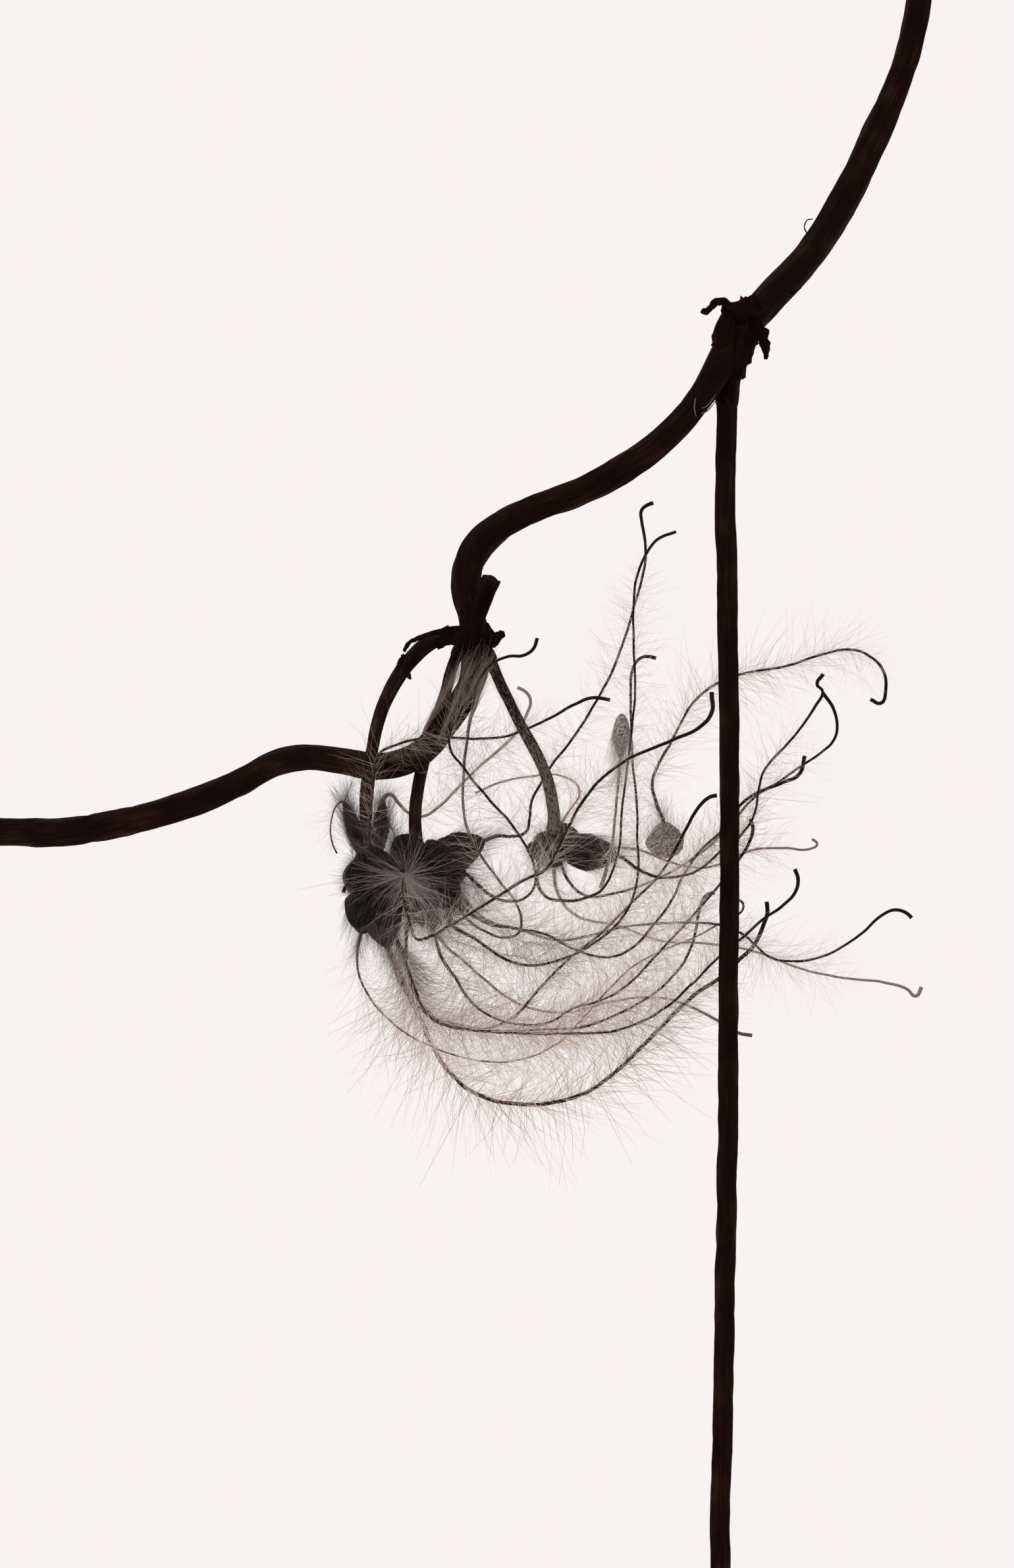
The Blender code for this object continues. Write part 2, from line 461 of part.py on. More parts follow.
def achene(name, base, tip, group, on_edge=False):
    """A flattened seed, widest past its middle and drawn in to its style at the tip."""
    along = (tip - base).normalized()
    across = along.cross(Vector((0, 0, 1)))
    if across.length < 0.3:
        across = along.cross(Vector((0, 1, 0)))
    across.normalize()
    thin = along.cross(across)
    if on_edge:
        across, thin = thin, -across
    half = (tip - base).length / 2
    shell = bmesh.new()
    bmesh.ops.create_uvsphere(shell, u_segments=8, v_segments=5, radius=1.0)
    for vert in shell.verts:
        # The sphere's own pole runs along the seed, and its belt is drawn in towards the tip.
        reach = vert.co.z
        belt = 1.0 - ACHENE_TAPER * max(0.0, reach)
        vert.co = (
            base + along * half * (1.0 + reach)
            + across * vert.co.x * belt * ACHENE_WIDTH / 2 * MM
            + thin * vert.co.y * belt * ACHENE_THICKNESS / 2 * MM
        )
    mesh = bpy.data.meshes.new(name)
    shell.to_mesh(mesh)
    shell.free()
    made = bpy.data.objects.new(name, mesh)
    group.objects.link(made)
    return made


def style_line(base, route):
    """The middle line of an achene's long tail, from well inside the achene, and its radii."""
    tip = place(*route[0])
    inside = tip + (base - tip).normalized() * STYLE_SUNK * MM
    points = [inside] + [place(*row) for row in route]
    last = len(points) - 1
    radii = [
        STYLE_ROOT_RADIUS + (STYLE_TIP_RADIUS - STYLE_ROOT_RADIUS) * index / last
        for index in range(len(points))
    ]
    return points, radii


def seat(middle, core, lean):
    """Where an achene starts: most of the way from a receptacle's middle to its skin."""
    share = Vector([part / half for part, half in zip(lean, core)]).length
    return middle + lean * SEAT_SHARE / share * MM


def achenes_of(centre, core, styles, bare, caught):
    """Each achene of a head: its title, base and tip, and its style's route where it has one."""
    middle = place(*centre)
    found = []
    for title, route in styles.items():
        tip = place(*route[0])
        found.append((title, seat(middle, core, (tip - middle).normalized()), tip, route))
    for index, direction in enumerate(bare):
        lean = Vector(direction).normalized()
        base = seat(middle, core, lean)
        found.append((f"bare_{index}", base, base + lean * BARE_ACHENE_LENGTH * MM, None))
    for title, (start, route) in caught.items():
        found.append((title, place(*start), place(*route[0]), route))
    return found


def mark(node, points, radii):
    """Note where a solid runs, for the stout hairs to keep clear of it."""
    for start, end, radius in zip(points, points[1:], radii):
        steps = math.ceil((end - start).length / (MARK_SPACING * MM))
        for step in range(steps + 1):
            spot = start.lerp(end, step / steps)
            cell = tuple(math.floor(part / (MARK_CELL * MM)) for part in spot)
            marks.setdefault(cell, []).append((node, spot, radius * MM))


def is_clear(node, start, tip, radius):
    """Whether a hair stays off the surface, off other nodes and, past its foot, off its own."""
    if tip.z < LOWEST_HAIR * MM:
        return False
    for share in HAIR_TESTS:
        spot = start.lerp(tip, share)
        thick = radius * (1.0 - share) * MM
        cell = [math.floor(part / (MARK_CELL * MM)) for part in spot]
        for shift in itertools.product((-1, 0, 1), repeat=3):
            near = tuple(a + b for a, b in zip(cell, shift))
            for other, place_of_other, reach in marks.get(near, ()):
                gap = (spot - place_of_other).length - reach - thick
                if other != node and gap < HAIR_CLEARANCE * MM:
                    return False
                if other == node and share > HAIR_FOOT and gap < JOINT_GAP * MM:
                    return False
    return True


def stout_hair(name, start, tip, radius, group):
    """A three-sided spike; the radius is in millimetres."""
    ahead = tip - start
    turned = ahead.to_track_quat("Z", "Y").to_matrix().to_4x4()
    shell = bmesh.new()
    bmesh.ops.create_cone(
        shell, cap_ends=True, segments=3, radius1=radius * MM, radius2=0.0, depth=ahead.length,
        matrix=Matrix.Translation((start + tip) / 2) @ turned,
    )
    mesh = bpy.data.meshes.new(name)
    shell.to_mesh(mesh)
    shell.free()
    group.objects.link(bpy.data.objects.new(name, mesh))


def feather(name, node, points, radii, group):
    """Stout hairs along a style, each turned on round it from the last, up to its bare tip."""
    whole = sum((b - a).length for a, b in zip(points, points[1:]))
    travelled = (points[1] - points[0]).length
    last_hair = -HAIR_SPACING * MM
    turn = 0.0
    for index in range(FIRST_HAIR, len(points) - 1):
        travelled += (points[index] - points[index - 1]).length
        if travelled - last_hair < HAIR_SPACING * MM or travelled > FEATHERED_SHARE * whole:
            continue
        along = (points[index + 1] - points[index - 1]).normalized()
        upward = along.cross(Vector((0, 0, 1))).cross(along).normalized()
        radius = radii[index] * HAIR_SHARE_OF_STYLE
        for _ in range(HAIR_TRIES):
            turn += HAIR_TURN
            out = Quaternion(along, turn) @ upward
            lean = out * math.sin(HAIR_LEAN) + along * math.cos(HAIR_LEAN)
            tip = points[index] + lean * HAIR_LENGTH * MM
            if is_clear(node, points[index], tip, radius):
                stout_hair(f"{name}_hair_{index}", points[index], tip, radius, group)
                mark(node, [points[index], tip], [radius])
                last_hair = travelled
                break


def keep_outer_skin(mesh):
    """Fill any hollow that fusing sealed, and drop loose scraps: only the largest skin stays.

    A vertex that is left partway along a straight edge is taken out of it.
    """
    shell = bmesh.new()
    shell.from_mesh(mesh)
    skins = []
    waiting = set(shell.verts)
    while waiting:
        skin = set()
        edge_of_skin = [waiting.pop()]
        while edge_of_skin:
            vert = edge_of_skin.pop()
            skin.add(vert)
            for edge in vert.link_edges:
                other = edge.other_vert(vert)
                if other in waiting:
                    waiting.remove(other)
                    edge_of_skin.append(other)
        skins.append(skin)
    skins.sort(key=len)
    for skin in skins[:-1]:
        bmesh.ops.delete(shell, geom=list(skin), context="VERTS")
    partway = [vert for vert in shell.verts if len(vert.link_edges) == 2]
    bmesh.ops.dissolve_verts(shell, verts=partway)
    shell.to_mesh(mesh)
    shell.free()


def fuse(name, group, finish):
    """One solid from a collection of overlapping ones."""
    first = group.objects[0]
    shell = first.data.copy()
    shell.name = name
    body = bpy.data.objects.new(name, shell)
    parts_group.objects.link(body)
    bpy.data.objects.remove(first)
    union = body.modifiers.new("grown together", "BOOLEAN")
    union.operation = "UNION"
    union.operand_type = "COLLECTION"
    union.collection = group
    union.solver = "MANIFOLD"
    evaluated = body.evaluated_get(bpy.context.evaluated_depsgraph_get())
    joined = bpy.data.meshes.new_from_object(evaluated)
    keep_outer_skin(joined)
    body.modifiers.clear()
    body.data = joined
    body.data.name = name
    for piece in list(group.objects):
        bpy.data.objects.remove(piece)
    bpy.data.collections.remove(group)
    body.data.materials.clear()
    body.data.materials.append(finish)
    return body


def rest_on_surface(body):
    """Cut a small flat spot where a stem lies on the surface."""
    bpy.ops.mesh.primitive_cube_add(size=1.0)
    under = bpy.context.active_object
    under.name = "under_" + body.name
    under.scale = (0.2, 0.2, 0.01)
    under.location = (0.0, 0.0, -0.005)
    bpy.ops.object.transform_apply(location=True, rotation=True, scale=True)
    cut = body.modifiers.new("flat spot", "BOOLEAN")
    cut.operation = "DIFFERENCE"
    cut.object = under
    cut.solver = "EXACT"
    evaluated = body.evaluated_get(bpy.context.evaluated_depsgraph_get())
    trimmed = bpy.data.meshes.new_from_object(evaluated)
    body.modifiers.clear()
    body.data = trimmed
    body.data.name = body.name
    bpy.data.objects.remove(under)


def mark_head(name, centre, core, styles, bare, caught):
    """Note where a head's achenes and styles run."""
    for _, base, tip, route in achenes_of(centre, core, styles, bare, caught):
        mark(name, [base, tip], [ACHENE_WIDTH / 2])
        if route:
            mark(name, *style_line(base, route))


def seed_head(name, centre, core, styles, bare, caught, finish):
    """A receptacle with its achenes, their styles and a few of the hairs that feather them."""
    group = new_collection(name + "_pieces")
    ball(name + "_receptacle", place(*centre), Vector(core) * MM, group)
    for title, base, tip, route in achenes_of(centre, core, styles, bare, caught):
        achene("achene_" + title, base, tip, group, title in ON_EDGE)
        if route:
            points, radii = style_line(base, route)
            tube("style_" + title, points, radii, group)
            feather(title, name, points, radii, group)
    return fuse(name, group, finish)


def build_vine(finish, profile):
    """The main stem with its two nodes, scales, stub and the sockets of what grows from it."""
    group = new_collection("vine_pieces")
    stem("vine_stem", VINE, group, profile=profile, twist=STEM_TWIST)
    ball("upper_node", place(*UPPER_NODE), UPPER_NODE_SIZE * MM, group)
    ball("lower_node", place(*LOWER_NODE), LOWER_NODE_SIZE * MM, group)
    stem("shoot_socket", SHOOT_SOCKET, group, sides=2)
    stem("cut_leaf_stalk", CUT_LEAF_STALK, group, sides=2)
    for title, rows in (UPPER_SCALES | LOWER_SCALES).items():
        stem(title, rows, group, sides=1)
    for title, stalk in (("left", STALK_LEFT), ("middle", STALK_MIDDLE), ("right", STALK_RIGHT)):
        first = Vector(stalk[0][:3])
        ahead = (Vector(stalk[1][:3]) - first).normalized()
        mouth = first - ahead * JOINT_GAP
        bend = mouth - ahead * SOCKET_BEND
        lip = stalk[0][3] + SOCKET_LIP
        rows = [(*SOCKET_ROOT, SOCKET_ROOT_RADIUS), (*bend, lip), (*mouth, lip)]
        stem("socket_" + title, rows, group, sides=2)
    body = fuse("vine", group, finish)
    rest_on_surface(body)
    return body


def build_stem_piece(name, rows, finish, profile=None, grounded=False):
    """A stem that is one plain grown piece."""
    group = new_collection(name + "_pieces")
    body = stem(name, rows, group, sides=2, profile=profile, twist=STEM_TWIST)
    group.objects.unlink(body)
    parts_group.objects.link(body)
    bpy.data.collections.remove(group)
    body.data.materials.clear()
    body.data.materials.append(finish)
    if grounded:
        rest_on_surface(body)
    return body


for leftover in list(bpy.data.objects):
    bpy.data.objects.remove(leftover)

parts_group = new_collection("dried_clematis_flower")
bark = material("dry vine bark", (0.030, 0.014, 0.011), 0.85)
stalk_skin = material("dry flower stalk", (0.036, 0.017, 0.013), 0.85)
seed_skin = material("dry seed and style", (0.075, 0.042, 0.032), 0.8)

profile = ribbed_profile()
bpy.context.scene.collection.objects.link(profile)
build_vine(bark, profile)
build_stem_piece("side_shoot", SIDE_SHOOT, bark, profile, grounded=True)
bpy.data.objects.remove(profile)
build_stem_piece("flower_stalk_left", STALK_LEFT, stalk_skin)
build_stem_piece("flower_stalk_middle", STALK_MIDDLE, stalk_skin)
build_stem_piece("flower_stalk_right", STALK_RIGHT, stalk_skin)

# The stout hairs of every head keep clear of all that is noted here.
marks = {}
for node, rows in (
    ("vine", VINE), ("vine", CUT_LEAF_STALK), ("vine", SHOOT_SOCKET), ("side_shoot", SIDE_SHOOT),
    ("flower_stalk_left", STALK_LEFT), ("flower_stalk_middle", STALK_MIDDLE),
    ("flower_stalk_right", STALK_RIGHT), *(("vine", rows) for rows in LOWER_SCALES.values()),
):
    mark(node, [place(*row[:3]) for row in rows], [row[3] for row in rows])
mark("vine", [place(*SOCKET_ROOT), place(*LOWER_NODE)], [max(LOWER_NODE_SIZE)])
for name, head in HEADS.items():
    mark_head(name, *head)
for name, head in HEADS.items():
    seed_head(name, *head, seed_skin)
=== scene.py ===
# %% [markdown]
# # Dried clematis seed heads on a cut length of their vine
# A clematis keeps its seed heads long after the petals drop. Each seed (an achene) is flat and
# hairy, and carries a tail (its style), a thin wire feathered with silky hairs. Three such heads
# hang from one fork of a woody vine, and the whole sprig lies on a pale table, seen from above.
#
# The plain solids come in first as a fixed frame. This file then replaces each of them with the
# fine thing it stands for: fibrous bark, streaked seeds, thin tails and tens of thousands of hairs.

import math

import bmesh
import bpy
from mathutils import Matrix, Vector, noise


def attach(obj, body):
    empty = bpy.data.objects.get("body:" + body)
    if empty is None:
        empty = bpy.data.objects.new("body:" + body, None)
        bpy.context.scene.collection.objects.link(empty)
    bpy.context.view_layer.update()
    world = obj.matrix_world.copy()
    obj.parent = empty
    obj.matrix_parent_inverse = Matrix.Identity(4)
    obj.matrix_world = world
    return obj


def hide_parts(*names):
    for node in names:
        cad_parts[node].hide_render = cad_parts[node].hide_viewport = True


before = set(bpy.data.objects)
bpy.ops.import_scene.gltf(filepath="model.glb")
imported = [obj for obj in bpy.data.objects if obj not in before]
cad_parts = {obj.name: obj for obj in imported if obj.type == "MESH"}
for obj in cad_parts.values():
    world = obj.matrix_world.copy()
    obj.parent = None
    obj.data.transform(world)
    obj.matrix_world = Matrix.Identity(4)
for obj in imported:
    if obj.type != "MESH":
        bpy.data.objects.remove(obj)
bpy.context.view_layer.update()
print("solids:", ", ".join(sorted(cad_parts)))

# %% [markdown]
# ## One set of measures
# Every route is a short list of points in millimetres, measured in plan from the fork where the
# flower stalks leave the vine, with the height above the table third. They are the same points
# that the solids were made from, so a thin tail runs inside the thicker solid that it replaces.

# %% From plan millimetres to the scene's metres
MM = 0.001
PLAN_CENTRE = (-1.3, -11.1)


def place(x, y, z):
    """Plan millimetres to metres, about the middle of the sprig."""
    return Vector((x - PLAN_CENTRE[0], y - PLAN_CENTRE[1], z)) * MM


# %% [markdown]
# ## The woody parts' routes
# A row is x, y, height and radius. The vine and its side shoot are cut at the ends and lie on the
# table there, and the fork in the middle is held some 15 mm up by the curve of the vine.

# %% Vine, shoot and stalks
VINE = [
    (34.1, 50.0, 0.75, 0.88), (33.6, 46.5, 0.95, 0.9), (32.7, 43.0, 1.5, 0.92),
    (30.6, 38.0, 2.8, 1.05), (28.2, 33.0, 4.6, 1.1), (25.4, 28.6, 7.0, 1.08), (22.3, 25.2, 9.4, 1.12),
    (19.8, 22.3, 11.5, 1.2), (17.6, 18.4, 13.0, 1.12), (14.9, 15.1, 13.8, 1.05),
    (11.4, 12.4, 14.2, 1.03), (8.0, 10.6, 14.3, 1.0), (4.5, 9.3, 14.4, 1.0), (1.7, 7.8, 14.6, 1.05),
    (-0.1, 5.8, 14.8, 1.1), (-0.6, 3.5, 15.0, 1.05), (-0.2, 1.3, 15.1, 0.98), (0.1, -0.7, 15.1, 1.1),
    (-0.1, -3.5, 14.7, 0.96), (-1.1, -5.5, 14.2, 0.95), (-2.2, -7.0, 13.6, 0.97),
    (-3.5, -8.7, 12.8, 0.98), (-5.2, -9.8, 11.9, 0.95), (-7.5, -10.2, 10.8, 0.93),
    (-10.0, -9.8, 9.6, 0.92), (-12.7, -9.5, 8.2, 0.9), (-15.2, -10.0, 6.9, 0.92),
    (-18.0, -11.5, 5.3, 0.98), (-22.5, -13.3, 3.5, 1.0), (-27.0, -14.5, 2.2, 1.0),
    (-31.5, -15.2, 1.25, 1.02), (-34.5, -15.2, 0.92, 1.02), (-37.6, -15.1, 0.84, 1.02),
]
SIDE_SHOOT = [
    (19.15, 16.9, 11.9, 0.76), (19.05, 12.0, 11.5, 0.76), (19.2, 3.0, 10.4, 0.78),
    (19.4, -7.0, 9.3, 0.75), (19.4, -17.0, 8.3, 0.72), (19.35, -27.0, 6.9, 0.73),
    (19.3, -37.0, 5.3, 0.76), (19.15, -47.0, 3.6, 0.76), (19.0, -57.0, 2.0, 0.75),
    (18.8, -65.0, 0.95, 0.75), (18.75, -69.0, 0.66, 0.75), (18.75, -72.2, 0.62, 0.75),
]
STALK_LEFT = [
    (-2.5, -0.4, 15.3, 0.58), (-3.5, -0.9, 15.3, 0.62), (-4.5, -1.8, 15.2, 0.62),
    (-5.6, -3.2, 14.9, 0.56), (-6.6, -5.0, 14.3, 0.52), (-7.3, -7.0, 13.4, 0.5),
    (-7.75, -9.0, 12.8, 0.47), (-8.0, -10.4, 12.4, 0.46), (-8.2, -12.0, 11.5, 0.44),
    (-8.25, -13.4, 10.6, 0.44), (-8.15, -14.9, 9.75, 0.44), (-7.95, -16.05, 9.15, 0.46),
]
STALK_MIDDLE = [
    (-1.4, -2.0, 13.5, 0.44), (-1.8, -3.1, 12.9, 0.42), (-2.15, -4.5, 12.2, 0.42),
    (-2.6, -5.9, 11.5, 0.43), (-3.15, -7.4, 10.8, 0.45), (-3.6, -9.0, 10.5, 0.46),
    (-4.0, -10.6, 10.6, 0.46), (-4.35, -12.3, 10.9, 0.46), (-4.5, -14.2, 11.1, 0.46),
    (-4.4, -15.9, 11.15, 0.5),
]
STALK_RIGHT = [
    (1.35, -2.5, 15.9, 0.46), (2.0, -4.0, 15.9, 0.44), (2.8, -5.6, 15.6, 0.43),
    (3.5, -7.0, 15.2, 0.44), (4.35, -8.5, 14.7, 0.45), (5.1, -10.0, 14.1, 0.46),
    (5.65, -11.6, 13.5, 0.48), (5.95, -13.2, 12.7, 0.5), (6.05, -14.2, 12.2, 0.53),
    (6.0, -15.1, 11.75, 0.58),
]
print("vine:", len(VINE), "points; shoot:", len(SIDE_SHOOT), "points")

# %% [markdown]
# ## The nodes of the vine
# A clematis climbs by its leaf stalks, which leave the stem in pairs at swollen joints. On a dead
# stem the joints are knots of torn bark: dried bud scales curl off the upper one, and the lower
# one, the fork, keeps the stub of a cut leaf stalk and a split strip of bark.

# %% Knots, sockets, scales and loose fibres
UPPER_NODE = (19.8, 22.2, 11.6)
LOWER_NODE = (0.1, -0.6, 15.1)
NODE_PIECES = {
    "shoot_socket": [
        (19.7, 21.8, 11.6, 1.1), (19.4, 20.0, 11.8, 1.0), (19.2, 18.4, 11.9, 0.9),
        (19.15, 17.2, 11.9, 0.82),
    ],
    "bud": [(20.0, 21.0, 12.0, 0.75), (20.1, 20.0, 12.2, 0.55), (20.3, 19.2, 12.2, 0.28)],
    "shoulder": [
        (19.6, 23.9, 11.6, 0.85), (19.1, 22.8, 11.7, 0.92), (18.9, 21.5, 11.8, 0.85),
        (18.5, 20.6, 11.9, 0.45),
    ],
    "cut_leaf_stalk": [
        (-0.1, -0.6, 15.2, 0.6), (0.3, 1.3, 15.9, 0.6), (0.9, 2.9, 16.6, 0.64), (1.35, 4.0, 17.0, 0.7),
    ],
    "socket_left": [(0.1, -0.7, 15.1, 0.75), (-1.6, -0.35, 15.3, 0.68), (-2.24, -0.36, 15.3, 0.66)],
    "socket_middle": [(0.1, -0.7, 15.1, 0.75), (-1.05, -1.4, 14.1, 0.54), (-1.3, -1.8, 13.65, 0.52)],
    "socket_right": [(0.1, -0.7, 15.1, 0.75), (0.95, -1.65, 15.9, 0.56), (1.22, -2.21, 15.9, 0.54)],
}

# Strips of bark and scale with torn ends; the radius is half the strip's width.
VINE_STRIPS = {
    "curled_scale": [
        (19.5, 23.9, 12.1, 0.75), (19.1, 24.8, 12.5, 0.42), (18.5, 25.05, 12.8, 0.3),
        (17.95, 24.6, 12.9, 0.26), (17.6, 24.25, 12.9, 0.24), (17.3, 24.4, 12.8, 0.22),
    ],
    "hanging_scale": [
        (20.9, 23.4, 12.0, 1.0), (21.7, 22.7, 12.2, 0.6), (22.1, 21.6, 12.1, 0.34),
        (22.15, 20.7, 11.9, 0.14),
    ],
    "collar_top": [(21.6, 25.0, 12.6, 0.7), (20.6, 24.6, 12.9, 0.75), (19.6, 24.1, 12.8, 0.75)],
    "collar_left": [
        (19.7, 24.3, 12.5, 0.75), (19.2, 23.0, 12.9, 0.8), (19.0, 21.4, 12.9, 0.85),
        (18.7, 20.2, 12.5, 0.7),
    ],
    "collar_right": [
        (20.7, 22.8, 12.7, 0.9), (20.3, 21.4, 12.9, 0.85), (19.9, 20.3, 12.8, 0.7),
        (20.1, 19.2, 12.6, 0.25),
    ],
    "split_bark": [
        (-0.6, 0.0, 15.9, 0.5), (-2.6, 0.0, 16.7, 0.2), (-4.0, -0.4, 16.9, 0.18),
        (-4.9, -0.85, 16.8, 0.17), (-5.3, -1.5, 16.5, 0.12),
    ],
    "torn_edge": [(0.6, -0.4, 15.6, 0.7), (1.5, -0.4, 15.8, 0.45), (2.25, -0.15, 15.8, 0.25)],
    "torn_edge_low": [(0.9, -0.9, 15.8, 0.6), (1.5, -0.8, 15.9, 0.4), (1.9, -0.7, 15.9, 0.2)],
    "fork_bark_left": [(-0.3, -0.5, 16.2, 0.8), (-1.7, -0.5, 16.2, 0.5), (-2.9, -1.1, 16.1, 0.3)],
    "fork_bark_up": [(-0.2, -0.9, 16.3, 0.8), (-0.5, 0.9, 16.1, 0.5), (-0.7, 2.4, 16.0, 0.2)],
}
LEFT_STALK_STRIPS = {
    "flake_out": [(-5.1, -1.9, 15.4, 0.4), (-5.55, -2.4, 15.5, 0.28), (-5.85, -3.0, 15.4, 0.1)],
    "flake_in": [(-5.2, -2.7, 15.3, 0.35), (-5.0, -3.2, 15.2, 0.22), (-4.8, -3.6, 15.0, 0.08)],
    "flake_low": [(-6.4, -4.6, 14.6, 0.3), (-6.7, -5.2, 14.6, 0.3), (-7.2, -5.8, 14.4, 0.1)],
}

# Single fibres that stand off the bark below and above the upper node: three pale and two dark.
PALE_FIBRES = {
    "fibre_upright": [(16.8, 17.7, 14.2, 0.05), (16.7, 16.9, 14.5, 0.045), (16.9, 16.1, 14.1, 0.03)],
    "fibre_low": [(16.9, 16.4, 13.9, 0.04), (17.7, 16.75, 14.1, 0.05), (18.3, 17.5, 13.6, 0.03)],
    "fibre_high": [(17.2, 16.9, 14.1, 0.04), (17.75, 17.2, 14.1, 0.04), (18.3, 18.0, 13.7, 0.03)],
}
DARK_FIBRES = {
    "fibre_loop": [
        (25.8, 30.4, 6.6, 0.06), (25.35, 30.3, 6.9, 0.05), (25.1, 30.8, 7.0, 0.05),
        (25.3, 31.3, 7.0, 0.05), (25.75, 31.4, 6.8, 0.04),
    ],
    "fibre_stub": [(23.9, 25.6, 9.2, 0.1), (24.5, 25.9, 9.5, 0.07), (24.85, 26.15, 9.5, 0.04)],
}

# %% [markdown]
# ## The seeds and tails of each head
# A tail's first point is the tip of its seed, so each route places both. The tails leave their
# heads in a bunch, sweep to the right together and curl at their ends, where the hairs have worn
# off. That shared sweep is what makes three heads look like one plume.

# %% Left head
HEAD_LEFT = (-7.6, -18.75, 7.6)
CORE_LEFT = (1.2, 2.3, 1.1)
STYLES_LEFT = {
    "up_the_stalk": [
        (-7.9, -16.3, 11.5), (-7.95, -14.9, 12.9), (-7.8, -13.4, 13.7), (-7.6, -11.2, 13.9),
        (-7.2, -9.3, 14.0), (-6.0, -8.6, 14.2), (-4.0, -8.1, 14.7), (-2.1, -8.0, 15.1),
        (0.0, -8.1, 14.8), (2.5, -7.9, 14.0), (3.9, -7.4, 13.6), (6.0, -6.4, 13.7),
        (7.8, -5.4, 14.1), (9.0, -5.0, 14.5), (10.3, -5.2, 14.7),
    ],
    "behind_the_middle_stalk": [
        (-6.9, -12.7, 7.0), (-6.4, -12.3, 7.1), (-5.8, -12.9, 7.3), (-5.0, -13.7, 7.4),
        (-4.0, -14.0, 7.5), (-2.6, -13.2, 7.5), (-1.4, -12.0, 7.5), (0.1, -10.5, 7.5),
        (1.6, -9.2, 7.5), (3.0, -7.9, 7.6), (3.9, -6.4, 7.7), (4.3, -5.2, 7.7),
        (3.9, -4.5, 7.7), (3.3, -4.2, 7.7),
    ],
    "small_curl": [
        (-9.9, -12.9, 6.6), (-10.4, -13.1, 6.9), (-10.8, -14.2, 7.2), (-10.9, -15.3, 7.4),
        (-10.7, -16.2, 7.3), (-10.4, -16.8, 7.1),
    ],
    "broken": [(-9.4, -18.9, 11.6), (-9.75, -19.2, 12.3), (-9.9, -19.7, 12.7)],
    "outer_loop": [
        (-8.6, -22.9, 6.2), (-8.9, -24.6, 5.4), (-8.6, -26.5, 4.6), (-7.4, -28.5, 4.0),
        (-5.6, -30.2, 3.5), (-3.5, -31.4, 3.2), (-1.0, -32.3, 3.0), (1.6, -32.7, 2.8),
        (4.0, -32.4, 2.8), (6.3, -31.3, 2.9), (7.8, -29.9, 3.2), (9.3, -28.2, 3.4),
        (10.8, -26.6, 3.5), (12.3, -25.3, 3.5), (14.3, -24.2, 3.3), (17.0, -23.1, 3.0),
        (18.8, -22.1, 2.9), (19.9, -21.6, 2.9), (20.5, -21.0, 2.9), (20.4, -20.5, 2.9),
        (19.9, -20.4, 2.9),
    ],
    "bottom_loop": [
        (-7.3, -22.5, 4.6), (-6.3, -24.6, 3.8), (-5.2, -27.0, 3.3), (-4.2, -29.2, 2.8),
        (-3.0, -31.8, 2.0), (-1.5, -33.9, 1.5), (0.5, -35.3, 1.2), (3.3, -35.9, 1.0),
        (6.0, -35.8, 1.0), (8.5, -35.0, 1.1), (10.5, -33.7, 1.3), (12.5, -31.8, 1.5),
        (14.5, -29.8, 1.9), (16.5, -27.8, 2.3), (18.8, -26.2, 2.6), (20.1, -25.0, 2.8),
        (21.3, -23.8, 3.2), (22.0, -22.3, 3.6), (22.3, -21.3, 3.8), (22.25, -20.5, 3.9),
    ],
    "long_sweep": [
        (-6.2, -22.6, 8.6), (-5.3, -24.7, 8.1), (-4.4, -27.3, 7.2), (-3.3, -29.3, 6.7),
        (-1.0, -30.1, 6.6), (2.0, -30.4, 7.0), (5.0, -30.5, 7.0), (7.5, -30.5, 6.8),
        (10.0, -30.4, 6.4), (12.5, -29.7, 6.1), (14.6, -28.5, 5.8), (16.6, -26.7, 5.5),
        (18.8, -24.5, 5.3), (20.3, -23.3, 5.5), (22.0, -21.8, 5.5), (23.6, -20.7, 5.5),
        (24.5, -19.6, 5.6), (24.65, -18.9, 5.6), (24.4, -18.0, 5.7),
    ],
    "low_sweep": [
        (-6.5, -24.0, 6.0), (-6.0, -25.7, 4.2), (-5.2, -27.4, 2.8), (-3.8, -28.9, 2.4),
        (-1.0, -29.9, 3.2), (2.0, -30.3, 3.7), (5.5, -30.2, 3.9), (8.3, -30.0, 4.0),
        (11.0, -29.0, 4.0), (13.5, -27.6, 3.9), (15.1, -26.2, 3.8), (16.3, -24.5, 3.6),
        (16.9, -22.5, 3.2), (17.2, -20.9, 3.1), (17.7, -20.0, 3.1), (18.3, -19.8, 3.1),
    ],
}

